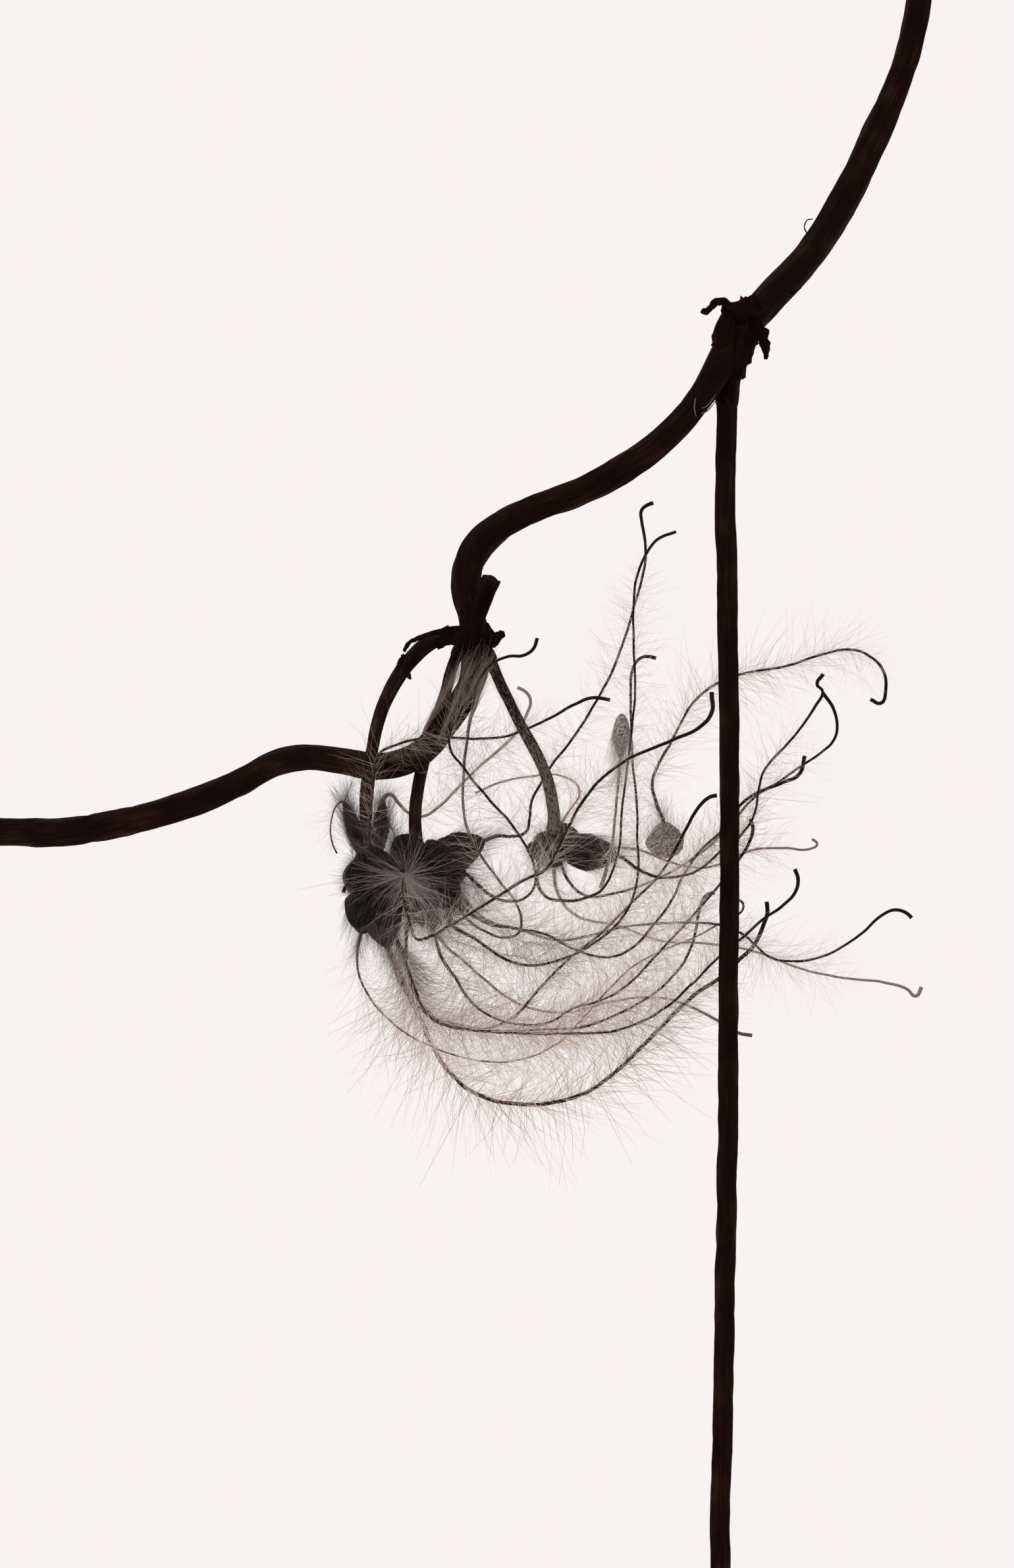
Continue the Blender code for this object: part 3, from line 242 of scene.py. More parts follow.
# %% Middle head
HEAD_MIDDLE = (-4.0, -17.75, 11.0)
CORE_MIDDLE = (1.5, 1.5, 1.2)
STYLES_MIDDLE = {
    "front": [
        (-5.3, -18.55, 15.2), (-5.4, -20.0, 16.2), (-4.8, -22.2, 16.7), (-4.35, -23.3, 16.8),
        (-3.9, -23.3, 16.9), (0.4, -20.9, 17.4), (3.6, -18.9, 17.7), (5.5, -17.9, 17.8),
        (6.25, -16.6, 17.9), (7.1, -14.9, 18.0), (8.3, -12.7, 18.0), (10.8, -10.2, 17.9),
        (15.0, -8.2, 17.2), (17.1, -7.2, 16.6), (18.0, -6.1, 16.2), (18.0, -4.6, 15.9),
    ],
    "plume_front": [
        (-0.6, -18.4, 11.2), (0.1, -19.0, 11.5), (1.3, -20.0, 12.0), (2.5, -20.4, 12.8),
        (3.8, -20.2, 13.5), (4.6, -19.2, 14.1), (4.6, -17.9, 14.5), (4.0, -16.4, 14.8),
        (3.0, -14.8, 15.0), (1.0, -12.5, 15.3), (-0.8, -10.3, 15.7), (-1.9, -8.4, 16.2),
        (-1.1, -6.3, 16.5), (0.1, -4.1, 17.0), (1.3, -2.5, 17.5), (2.5, -1.9, 17.7),
        (3.8, -1.8, 17.6), (4.5, -1.3, 17.5), (4.8, -0.5, 17.4),
    ],
    "plume_back": [
        (-1.4, -19.6, 9.2), (-1.2, -20.7, 9.4), (-0.5, -21.8, 9.8), (0.8, -22.7, 10.2),
        (2.3, -23.2, 10.7), (3.4, -22.8, 11.2), (3.6, -21.8, 11.6), (3.2, -20.6, 11.9),
        (2.1, -19.1, 12.2), (0.6, -17.1, 12.4), (-0.4, -15.3, 12.6), (-0.8, -13.5, 12.8),
        (-0.8, -11.0, 13.2), (-0.6, -8.8, 13.6), (-0.3, -6.8, 14.2), (0.3, -4.9, 15.7),
        (0.6, -3.8, 16.3),
    ],
    "tall_behind_stalk": [
        (0.8, -15.8, 9.6), (1.7, -15.5, 9.5), (2.9, -15.5, 9.5), (3.9, -15.2, 9.6),
        (4.2, -14.2, 10.0), (4.4, -12.8, 10.6), (5.1, -11.4, 11.2), (5.9, -10.1, 11.8),
        (7.3, -8.3, 12.6), (9.0, -5.7, 13.2), (10.4, -3.1, 13.4), (11.4, -0.5, 13.5),
        (12.1, 1.8, 13.6), (12.6, 3.5, 13.5), (13.0, 5.5, 13.3), (12.95, 7.0, 13.0),
        (12.7, 8.5, 12.7), (12.7, 9.2, 12.6), (13.1, 9.6, 12.5), (13.6, 9.8, 12.5),
    ],
    "tall_curve": [
        (-2.2, -20.7, 7.6), (-1.7, -22.2, 7.4), (0.1, -23.3, 7.3), (2.3, -24.8, 7.2),
        (4.0, -25.3, 7.2), (6.5, -24.9, 7.3), (9.0, -23.7, 7.6), (11.0, -22.0, 8.2),
        (12.0, -20.3, 9.2), (12.45, -18.0, 10.3), (12.4, -15.5, 11.4), (12.3, -12.5, 12.3),
        (12.0, -9.5, 13.1), (11.9, -7.0, 13.6), (11.9, -4.5, 13.9), (12.0, -2.9, 14.0),
        (12.6, -2.0, 14.0), (13.2, -1.85, 14.0), (13.8, -2.0, 14.0),
    ],
    "middle_sweep": [
        (-4.7, -20.9, 7.4), (-5.1, -22.6, 6.6), (-5.2, -24.3, 6.1), (-4.9, -26.5, 5.6),
        (-4.0, -28.3, 5.3), (-2.5, -29.6, 5.1), (-0.8, -30.2, 5.0), (1.0, -30.1, 5.0),
        (2.8, -29.4, 5.1), (4.3, -27.9, 5.4), (5.8, -26.2, 5.8), (7.6, -24.5, 6.4),
        (9.5, -23.0, 7.0), (12.0, -20.5, 7.8), (14.0, -18.5, 9.0), (15.4, -16.3, 9.9),
        (16.3, -14.5, 10.3), (17.1, -13.2, 10.5), (17.9, -12.5, 10.5), (18.4, -12.4, 10.4),
    ],
    "inner_sweep": [
        (-3.5, -21.2, 9.8), (-3.0, -23.0, 9.3), (-2.4, -24.8, 8.7), (-1.4, -26.3, 7.8),
        (-0.3, -28.0, 6.9), (1.3, -29.2, 6.3), (3.3, -29.8, 6.0), (5.5, -29.7, 5.8),
        (7.5, -28.6, 5.6), (9.3, -28.1, 5.4), (11.3, -27.1, 5.2), (14.0, -24.4, 5.0),
        (16.3, -21.9, 5.0), (18.8, -19.0, 5.0), (20.1, -17.3, 5.2), (20.9, -16.0, 5.6),
        (21.2, -15.0, 5.8), (21.0, -14.2, 6.0),
    ],
    "under_the_shoot": [
        (-1.5, -20.0, 7.7), (-0.6, -21.1, 8.2), (1.0, -22.1, 8.7), (3.3, -22.5, 8.8),
        (5.5, -23.0, 8.6), (7.5, -24.0, 8.3), (9.3, -24.6, 8.0), (10.8, -24.6, 7.6),
        (12.1, -23.9, 7.3), (13.6, -22.3, 6.9), (15.0, -20.4, 6.5), (16.0, -18.3, 6.4),
        (17.3, -16.5, 6.2), (18.8, -15.1, 6.0), (20.1, -13.3, 6.0), (21.5, -12.2, 6.3),
        (23.5, -11.4, 6.8), (24.7, -10.8, 7.2), (25.1, -9.4, 7.6),
    ],
    "right_wave": [
        (-1.5, -19.0, 7.0), (-0.6, -20.5, 6.5), (1.0, -21.9, 6.3), (3.5, -22.6, 6.0),
        (6.4, -23.4, 5.7), (9.0, -23.0, 5.2), (11.5, -22.4, 4.8), (14.8, -22.1, 4.4),
        (18.3, -22.2, 4.3), (20.3, -22.9, 4.3), (21.5, -23.9, 4.6), (22.5, -24.7, 4.7),
        (24.0, -25.0, 4.8), (26.3, -24.7, 4.9), (28.0, -23.9, 5.0), (29.6, -22.8, 5.2),
        (31.0, -21.5, 5.4), (32.0, -21.1, 5.5), (32.8, -21.3, 5.5), (33.3, -21.7, 5.5),
    ],
    "lowest": [
        (-3.5, -20.0, 6.6), (-3.1, -22.0, 5.4), (-2.4, -23.6, 4.6), (-0.8, -25.0, 4.0),
        (1.0, -26.6, 3.6), (2.4, -27.7, 3.0), (4.3, -28.6, 2.2), (7.0, -28.9, 1.6),
        (10.5, -28.1, 1.1), (14.0, -27.8, 0.7), (16.0, -28.3, 0.6), (18.8, -29.7, 0.6),
        (20.1, -30.5, 0.7), (21.2, -30.7, 0.8),
    ],
}

# %% Right head, and the two seeds that have come away and hang caught on its tails
HEAD_RIGHT = (5.8, -16.3, 11.2)
CORE_RIGHT = (1.05, 1.05, 0.95)
STYLES_RIGHT = {
    "right_curl": [
        (10.9, -17.0, 12.0), (12.3, -17.9, 11.6), (14.0, -18.6, 10.4), (15.8, -18.5, 9.0),
        (17.3, -17.9, 7.6), (18.8, -16.6, 6.8), (20.3, -15.4, 6.9), (21.3, -13.8, 7.4),
        (21.6, -12.0, 8.2), (22.1, -10.4, 9.0), (23.3, -9.0, 9.8), (24.7, -7.4, 10.4),
        (25.9, -5.6, 10.8), (26.45, -4.5, 11.0), (26.0, -4.0, 11.1), (26.5, -3.2, 11.2),
    ],
    "straight_low": [
        (9.8, -16.4, 9.2), (12.3, -16.5, 7.8), (14.5, -17.3, 5.9), (16.8, -17.9, 4.4),
        (18.8, -17.6, 3.7), (21.0, -16.6, 3.5), (23.5, -16.4, 3.6), (25.8, -16.4, 3.8),
        (26.1, -16.1, 3.9), (25.7, -15.7, 4.0),
    ],
    "right_loop": [
        (6.5, -17.2, 6.9), (7.2, -18.9, 6.6), (8.5, -20.0, 6.5), (10.4, -19.9, 6.3),
        (13.3, -19.0, 5.6), (16.5, -17.3, 4.8), (18.8, -15.4, 4.3), (21.5, -12.4, 4.8),
        (23.0, -11.5, 5.2), (24.8, -10.2, 5.8), (26.3, -9.2, 6.2), (27.2, -8.4, 6.5),
        (27.6, -7.3, 6.8), (27.3, -5.8, 7.0), (26.5, -4.6, 7.1),
    ],
    "tall_front": [
        (5.0, -17.4, 7.2), (4.8, -18.9, 7.6), (5.4, -20.0, 8.9), (6.9, -20.4, 10.6),
        (8.3, -20.2, 11.9), (9.6, -19.6, 13.0), (10.5, -18.1, 14.0), (11.0, -16.2, 14.7),
        (11.2, -13.5, 15.1), (11.6, -10.5, 15.4), (11.9, -7.8, 15.5), (12.2, -4.5, 15.5),
        (12.1, -1.0, 15.3), (12.1, 2.0, 15.1), (12.3, 4.0, 14.8), (12.9, 5.6, 14.4),
        (13.9, 7.0, 13.9), (15.3, 7.6, 13.6),
    ],
    "far_right": [
        (6.0, -17.3, 7.0), (6.3, -19.6, 5.8), (7.3, -21.2, 4.8), (8.7, -21.9, 4.0),
        (10.5, -22.2, 3.2), (14.5, -23.5, 1.9), (18.0, -23.7, 1.5), (21.5, -24.3, 1.4),
        (24.0, -25.3, 1.4), (26.0, -25.9, 1.3), (29.0, -26.4, 1.2), (31.5, -26.7, 1.1),
        (33.0, -27.2, 1.0), (33.6, -27.7, 1.0), (34.1, -27.0, 1.1),
    ],
    "crossing_back": [
        (6.1, -15.3, 7.0), (7.2, -13.6, 6.0), (8.0, -12.0, 5.3), (6.5, -10.9, 4.4),
        (4.0, -11.0, 4.0), (2.0, -11.4, 3.8), (0.1, -12.2, 3.7),
    ],
}
CAUGHT = {
    "caught_low": ((14.65, -17.2, 6.3), [
        (14.4, -14.4, 7.4), (13.8, -12.9, 7.8), (13.55, -11.6, 7.8), (14.05, -10.0, 7.6),
        (15.0, -8.3, 7.3), (15.7, -6.9, 7.1), (16.6, -5.4, 7.0), (18.3, -4.0, 6.8),
        (20.3, -3.2, 6.8), (24.0, -2.5, 7.2), (26.3, -1.7, 7.6), (28.8, -1.35, 8.0),
        (30.3, -2.0, 8.3), (31.0, -2.8, 8.4), (31.25, -4.5, 8.2), (30.9, -5.4, 8.1),
        (30.1, -5.1, 8.0),
    ]),
    "caught_high": ((11.2, -6.2, 15.0), [
        (11.1, -9.6, 14.9), (10.9, -11.6, 14.6), (10.7, -14.0, 14.2), (10.3, -17.0, 13.0),
        (9.6, -19.4, 11.6),
    ]),
}

# %% Seeds that have lost their tails, by the direction that they lean in
BARE_LEFT = [(-0.5, 0.05, -0.86), (-0.3, -0.75, 0.6), (-0.2, -0.4, -0.9), (-0.5, 0.1, 1.0)]
BARE_MIDDLE = [
    (0.65, -0.75, 0.6), (0.8, 0.3, -0.7), (0.5, 0.3, 1.0), (-0.4, 0.45, 0.8),
    (-0.3, -0.8, 0.55), (-0.8, -0.3, 0.4),
]
BARE_RIGHT = [(0.5, 0.2, -0.9)]

# The seed that points up, and those that show a narrow side from above.
FACING = "front"
ON_EDGE = ("behind_the_middle_stalk", "small_curl", "inner_sweep", "straight_low", "caught_high")

# How far light is painted on a seed: its colour is turned to that of one that hangs in the light.
# Below 0 the skin keeps its colour, and shade is painted on the hairs on it, which are darker.
PAINTED_LIGHT_ON_SEEDS = {
    "caught_low": 1.0, "caught_high": 0.95, "small_curl": -0.5, "behind_the_middle_stalk": -0.5,
    "right_curl": -0.15, "straight_low": -0.15,
}
print("tails:", len(STYLES_LEFT), len(STYLES_MIDDLE), len(STYLES_RIGHT) + len(CAUGHT))

# %% [markdown]
# ## Helpers for node trees
# Materials and Geometry Nodes are both trees of nodes, so one helper serves for both. It adds a
# node, sets its properties, and fills each input with a plain value or with a link.

# %% Adding a node, making a tree and growing a mesh from it


def add(tree, kind, inputs=None, **settings):
    """Adds a node; inputs maps a socket's name or number to a value or to another socket."""
    node = tree.nodes.new(kind)
    for name, value in settings.items():
        setattr(node, name, value)
    for key, value in (inputs or {}).items():
        if isinstance(value, bpy.types.NodeSocket):
            tree.links.new(value, node.inputs[key])
        else:
            node.inputs[key].default_value = value
    return node


def captured(tree, geometry, kind, value):
    """Remembers a value on a geometry's points; returns the geometry and the remembered value."""
    node = tree.nodes.new("GeometryNodeCaptureAttribute")
    node.capture_items.new(kind, "value")
    tree.links.new(geometry, node.inputs[0])
    tree.links.new(value, node.inputs[1])
    return node.outputs[0], node.outputs[1]


def geometry_tree(name, sockets):
    """A Geometry Nodes tree with the named inputs; returns the tree and its input sockets."""
    tree = bpy.data.node_groups.new(name, "GeometryNodeTree")
    tree.interface.new_socket("Geometry", in_out="OUTPUT", socket_type="NodeSocketGeometry")
    tree.interface.new_socket("Geometry", in_out="INPUT", socket_type="NodeSocketGeometry")
    for title, kind in sockets.items():
        tree.interface.new_socket(title, in_out="INPUT", socket_type="NodeSocket" + kind)
    return tree, tree.nodes.new("NodeGroupInput").outputs


def grow(source, tree, values):
    """Runs a tree on an object and returns its result as a plain mesh; the object is removed."""
    modifier = source.modifiers.new(tree.name, "NODES")
    modifier.node_group = tree
    for socket in tree.interface.items_tree:
        if socket.in_out == "INPUT" and socket.name in values:
            modifier[socket.identifier] = values[socket.name]
    evaluated = source.evaluated_get(bpy.context.evaluated_depsgraph_get())
    mesh = bpy.data.meshes.new_from_object(evaluated)
    bpy.data.objects.remove(source)
    return mesh


def joined(name, meshes):
    """One object from several meshes that share their materials."""
    objects = []
    for mesh in meshes:
        piece = bpy.data.objects.new(name, mesh)
        bpy.context.scene.collection.objects.link(piece)
        objects.append(piece)
    if len(objects) > 1:
        with bpy.context.temp_override(active_object=objects[0], selected_editable_objects=objects):
            bpy.ops.object.join()
    made = objects[0]
    made.name = name
    made.data.name = name
    return made


def triangles(piece):
    """How many triangles a piece has."""
    return sum(len(face.vertices) - 2 for face in piece.data.polygons)


# %% [markdown]
# ## Colours
# The sprig is photographed against the light, so wood is almost black and a hair is a thin grey
# brown line. Colours are written as the screen shows them and turned to linear light once.

# %% From a hex colour to linear light


def linear(hex_colour):
    """An sRGB colour such as "3c3535" as linear red, green and blue, and an alpha of one."""
    shades = [int(hex_colour[i:i + 2], 16) / 255 for i in (0, 2, 4)]
    curve = [s / 12.92 if s <= 0.04045 else ((s + 0.055) / 1.055) ** 2.4 for s in shades]
    return (*curve, 1.0)


def shader_tree(name, roughness, specular):
    """A new material; returns it, its tree and its shader."""
    material = bpy.data.materials.new(name)
    material.use_nodes = True
    tree = material.node_tree
    shader = tree.nodes["Principled BSDF"]
    shader.inputs["Roughness"].default_value = roughness
    shader.inputs["Specular IOR Level"].default_value = specular
    return material, tree, shader


# %% [markdown]
# ## Dry vine bark
# Clematis bark is thin and stringy: it dries in long fibres that run with the stem, dark brown in
# the grooves and paler along the worn ribs. The pattern reads the attribute "grain", which every
# stem carries: two coordinates round the stem and one along it, in metres. Stretching the noise
# along the third one turns specks into fibres.
#
# One function makes all the barks of the sprig. At a knot the bark is torn, so it is rougher, with
# paler broken edges. A loose fibre is bleached by the weather. A flower stalk has a thin dull skin,
# and the right one wears a felt of short hairs that thickens towards its head.

# %% Material: dry vine bark
FIBRE_WIDTH = 0.16 * MM
FIBRE_LENGTH = 2.6 * MM
BLOTCHES_PER_MM = 0.35
FELT_STRANDS_PER_MM = (7.0, 7.0, 3.0)
FELT_EDGE = 9.0


def stringy_bark(name, dark, mid, pale, relief, felt=None):
    """Long fibres along a stem; felt is the colour that short hairs give its far end."""
    material, tree, shader = shader_tree(name, roughness=0.85, specular=0.06)
    grain = add(tree, "ShaderNodeAttribute", attribute_name="grain").outputs["Vector"]
    stretched = add(tree, "ShaderNodeVectorMath", {
        0: grain, 1: (1 / FIBRE_WIDTH, 1 / FIBRE_WIDTH, 1 / FIBRE_LENGTH),
    }, operation="MULTIPLY").outputs[0]
    fibres = add(tree, "ShaderNodeTexNoise", {
        "Vector": stretched, "Scale": 1.0, "Detail": 4.0, "Roughness": 0.62,
    })
    blotches = add(tree, "ShaderNodeTexNoise", {
        "Vector": grain, "Scale": BLOTCHES_PER_MM / MM, "Detail": 2.0,
    })
    both = add(tree, "ShaderNodeMath", {
        0: fibres.outputs["Fac"], 1: blotches.outputs["Fac"],
    }, operation="MULTIPLY")
    ramp = add(tree, "ShaderNodeValToRGB", {"Fac": both.outputs[0]})
    ramp.color_ramp.elements[0].position = 0.16
    ramp.color_ramp.elements[0].color = linear(dark)
    ramp.color_ramp.elements[1].position = 0.46
    ramp.color_ramp.elements[1].color = linear(pale)
    ramp.color_ramp.elements.new(0.3).color = linear(mid)
    bump = add(tree, "ShaderNodeBump", {
        "Height": fibres.outputs["Fac"], "Strength": 0.7, "Distance": relief,
    })
    colour = ramp.outputs["Color"]
    if felt:
        share = add(tree, "ShaderNodeAttribute", attribute_name="share").outputs["Fac"]
        strands = add(tree, "ShaderNodeTexNoise", {
            "Vector": add(tree, "ShaderNodeVectorMath", {
                0: grain, 1: [per_mm / MM for per_mm in FELT_STRANDS_PER_MM],
            }, operation="MULTIPLY").outputs[0],
            "Scale": 1.0, "Detail": 2.0,
        }).outputs["Fac"]
        needed = add(tree, "ShaderNodeMapRange", {
            "Value": share, "From Min": 0.0, "From Max": 0.8, "To Min": 0.62, "To Max": 0.4,
        }).outputs[0]
        above = add(tree, "ShaderNodeMath", {0: strands, 1: needed}, operation="SUBTRACT").outputs[0]
        strength = add(tree, "ShaderNodeMath", {
            0: above, 1: FELT_EDGE,
        }, operation="MULTIPLY", use_clamp=True).outputs[0]
        colour = add(tree, "ShaderNodeMix", {
            "Factor": strength, 6: colour, 7: linear(felt),
        }, data_type="RGBA").outputs[2]
    tree.links.new(colour, shader.inputs["Base Color"])
    tree.links.new(bump.outputs["Normal"], shader.inputs["Normal"])
    return material


bark = stringy_bark("dry stringy vine bark", "1c0f0d", "2a1612", "43281f", 0.05 * MM)
knot_bark = stringy_bark("torn bark of a knot", "150a08", "28140f", "4c2a1e", 0.09 * MM)
loose_fibre = stringy_bark("loose bark fibre", "7d685c", "a08c80", "c9b8ad", 0.01 * MM)
stalk_skin = stringy_bark("dry flower stalk", "1e110e", "36231e", "604c44", 0.03 * MM)
felted_skin = stringy_bark(
    "felted flower stalk", "1c110f", "37251f", "5f4d45", 0.03 * MM, felt="a3938b",
)
print("barks:", ", ".join(made.name for made in (bark, knot_bark, loose_fibre, stalk_skin, felted_skin)))

# %% [markdown]
# ## Cut wood
# The vine and the shoot were cut with a blade, so their ends show the wood inside: a dull tan disc,
# speckled by its pores, which are drawn some four to the millimetre.

# %% Material: cut vine wood
PORES_PER_MM = 4.0


def cut_wood(name):
    """The speckled end of a thin stem."""
    material, tree, shader = shader_tree(name, roughness=0.75, specular=0.2)
    coordinates = add(tree, "ShaderNodeTexCoord")
    pores = add(tree, "ShaderNodeTexNoise", {
        "Vector": coordinates.outputs["Object"], "Scale": PORES_PER_MM / MM, "Detail": 3.0,
    })
    ramp = add(tree, "ShaderNodeValToRGB", {"Fac": pores.outputs["Fac"]})
    ramp.color_ramp.elements[0].position = 0.35
    ramp.color_ramp.elements[0].color = linear("4d3628")
    ramp.color_ramp.elements[1].position = 0.65
    ramp.color_ramp.elements[1].color = linear("8f7358")
    tree.links.new(ramp.outputs["Color"], shader.inputs["Base Color"])
    return material


end_grain = cut_wood("cut vine wood")

# %% [markdown]
# ## Seed skin
# A ripe achene is dull, dark grey brown and finely furrowed along its length. Its pattern reads the
# same "grain" attribute, which here holds the seed's own width, thickness and length. The two seeds
# that hang apart from their heads have light all round them, and look pale and gritty instead; that
# light is painted into their colour, and the attribute "fade" turns the one look into the other.

# %% Material: furrowed seed skin
FURROWS_PER_MM = (7.0, 7.0, 0.4)
GRIT_PER_MM = 6.0


def seed_coat(name):
    """Lengthwise furrows, dark in the grooves and grey brown between, or pale grit where light is painted
    on.
    """
    material, tree, shader = shader_tree(name, roughness=0.85, specular=0.15)
    grain = add(tree, "ShaderNodeAttribute", attribute_name="grain").outputs["Vector"]
    stretched = add(tree, "ShaderNodeVectorMath", {
        0: grain, 1: [per_mm / MM for per_mm in FURROWS_PER_MM],
    }, operation="MULTIPLY").outputs[0]
    furrows = add(tree, "ShaderNodeTexNoise", {"Vector": stretched, "Scale": 1.0, "Detail": 3.0})
    ramp = add(tree, "ShaderNodeValToRGB", {"Fac": furrows.outputs["Fac"]})
    ramp.color_ramp.elements[0].position = 0.36
    ramp.color_ramp.elements[0].color = linear("140d0c")
    ramp.color_ramp.elements[1].position = 0.68
    ramp.color_ramp.elements[1].color = linear("453b38")
    bump = add(tree, "ShaderNodeBump", {
        "Height": furrows.outputs["Fac"], "Strength": 0.8, "Distance": 0.05 * MM,
    })
    fade = add(tree, "ShaderNodeAttribute", attribute_name="fade").outputs["Fac"]
    grit = add(tree, "ShaderNodeTexNoise", {"Vector": grain, "Scale": GRIT_PER_MM / MM, "Detail": 2.0})
    lit_ramp = add(tree, "ShaderNodeValToRGB", {"Fac": grit.outputs["Fac"]})
    lit_ramp.color_ramp.elements[0].position = 0.4
    lit_ramp.color_ramp.elements[0].color = linear("7a6861")
    lit_ramp.color_ramp.elements[1].position = 0.6
    lit_ramp.color_ramp.elements[1].color = linear("e0d6d1")
    # Painted light: a seed that hangs in the light is turned to the pale grit colour.
    painted_light_mix = add(tree, "ShaderNodeMix", {
        "Factor": fade, 6: ramp.outputs["Color"], 7: lit_ramp.outputs["Color"],
    }, data_type="RGBA").outputs[2]
    tree.links.new(painted_light_mix, shader.inputs["Base Color"])
    tree.links.new(bump.outputs["Normal"], shader.inputs["Normal"])
    return material


seed_skin = seed_coat("furrowed seed skin")

# %% [markdown]
# ## Tails and hairs
# A tail is a horny thread, brown where hairs cover it and almost black at its bare curled tip. The
# attribute "share" runs from 0 at the seed to 1 at the tip. Most tails that lie low or deep in the
# plume look paler, as through a haze of hairs; that paleness is painted light, and "fade" says how much.
#
# A hair is a dead hollow cell: pale, slightly glossy and grey brown as a mass. Each one carries its
# own "tone", so that no two neighbours are quite the same shade; near a stem the tone also carries
# painted shade, and on some seeds painted light and shade. Light from behind comes through a hair,
# and a weak glow stands for that. The glow isn't treated as a lamp, because thousands of tiny lamps
# would make the picture slower and no better. Hairs on seeds and stalks lie close together, so their
# colours are darker, a painted shade, and they let less light through than those of a tail.

# %% Materials: horny tail thread and silky hair


def tail_thread(name):
    """Brown along the feathered part and darker at the bare tip."""
    material, tree, shader = shader_tree(name, roughness=0.55, specular=0.25)
    share = add(tree, "ShaderNodeAttribute", attribute_name="share").outputs["Fac"]
    ramp = add(tree, "ShaderNodeValToRGB", {"Fac": share})
    ramp.color_ramp.elements[0].position = 0.05
    ramp.color_ramp.elements[0].color = linear("432c25")
    ramp.color_ramp.elements[1].position = 0.9
    ramp.color_ramp.elements[1].color = linear("180d0b")
    ramp.color_ramp.elements.new(0.5).color = linear("2c1a15")
    fade = add(tree, "ShaderNodeAttribute", attribute_name="fade").outputs["Fac"]
    # Painted light: a tail deep in the plume is turned paler, as through a haze of hairs.
    painted_light_mix = add(tree, "ShaderNodeMix", {
        "Factor": fade, 6: ramp.outputs["Color"], 7: linear("cbbcb4"),
    }, data_type="RGBA").outputs[2]
    tree.links.new(painted_light_mix, shader.inputs["Base Color"])
    return material


def silky_hair(name, dark, mid, pale, through):
    """A mass of hairs, each with a shade of its own; through is how much light comes through."""
    material, tree, shader = shader_tree(name, roughness=0.6, specular=0.15)
    tone = add(tree, "ShaderNodeAttribute", attribute_name="tone").outputs["Fac"]
    ramp = add(tree, "ShaderNodeValToRGB", {"Fac": tone})
    ramp.color_ramp.elements[0].color = linear(dark)
    ramp.color_ramp.elements[1].color = linear(pale)
    ramp.color_ramp.elements.new(0.5).color = linear(mid)
    tree.links.new(ramp.outputs["Color"], shader.inputs["Base Color"])
    tree.links.new(ramp.outputs["Color"], shader.inputs["Emission Color"])
    shader.inputs["Emission Strength"].default_value = through
    material.cycles.emission_sampling = "NONE"
    return material


thread = tail_thread("horny tail thread")
hair = silky_hair("silky tail hair", "644b40", "b9a59c", "e4dad6", through=0.52)
# Seed and stalk hairs get darker colours: painted shade of hairs that lie close together.
seed_hair = silky_hair("silky seed hair", "352e2c", "665d5a", "aaa19e", through=0.25)
stalk_hair = silky_hair("short stalk hair", "4d3f39", "83736b", "b5a69e", through=0.25)
print("tail and hairs:", ", ".join(made.name for made in (thread, hair, seed_hair, stalk_hair)))

# %% [markdown]
# ## From a list of points to a curve
# A curve with automatic handles bends smoothly through its points, as a dried stem does. Each
# point's radius is kept in metres, and the Geometry Nodes trees below read it.

# %% A route as a curve object


def route_curve(name, points, radii):
    """A smooth curve through the points, with a radius in metres at each."""
    curve = bpy.data.curves.new(name, "CURVE")
    curve.dimensions = "3D"
    curve.resolution_u = 12
    spline = curve.splines.new("BEZIER")
    spline.bezier_points.add(len(points) - 1)
    for point, position, radius in zip(spline.bezier_points, points, radii):
        point.co = position
        point.radius = radius
        point.handle_left_type = "AUTO"
        point.handle_right_type = "AUTO"
    made = bpy.data.objects.new(name, curve)
    bpy.context.scene.collection.objects.link(made)
    return made


def stem_curve(name, rows):
    """A curve from rows of x, y, height and radius in millimetres."""
    return route_curve(name, [place(*row[:3]) for row in rows], [row[3] * MM for row in rows])


# %% [markdown]
# ## Growing a woody stem
# A stem could be a bevelled curve, but its surface would be a plain pipe. This tree sweeps a circle
# along the curve and then moves each point along its normal: in and out with the ribs, by a long
# stretched noise for the fibres, and by a broad noise for the unevenness of a grown thing. Where
# the stem lies on the table it is pressed flat, as its solid is.

# %% Tree: ribbed woody stem
# How many fibres and lumps there are to a millimetre. The ribs sway round the stem along its length.
RELIEF_PER_MM = (2.2, 2.2, 0.22)
LUMPS_PER_MM = 0.4
SWAYS_PER_MM = 0.12
SWAY_TURN = 3.0
stem_tree, given = geometry_tree("ribbed woody stem", {
    "Spacing": "Float", "Sides": "Int", "Ribs": "Float", "Rib depth": "Float",
    "Fibre depth": "Float", "Lump depth": "Float", "Seed": "Float", "Skin": "Material",
})
rail = add(stem_tree, "GeometryNodeResampleCurve", {
    "Curve": given["Geometry"], "Length": given["Spacing"],
}, mode="LENGTH").outputs[0]
length_here = add(stem_tree, "GeometryNodeSplineParameter").outputs["Length"]
rail, along = captured(stem_tree, rail, "FLOAT", length_here)
rail, ahead = captured(
    stem_tree, rail, "VECTOR", add(stem_tree, "GeometryNodeInputTangent").outputs[0],
)
rail, share = captured(
    stem_tree, rail, "FLOAT", add(stem_tree, "GeometryNodeSplineParameter").outputs["Factor"],
)
circle = add(stem_tree, "GeometryNodeCurvePrimitiveCircle", {
    "Resolution": given["Sides"], "Radius": 1.0,
})
turn_here = add(stem_tree, "GeometryNodeSplineParameter").outputs["Factor"]
ring, around = captured(stem_tree, circle.outputs["Curve"], "FLOAT", turn_here)
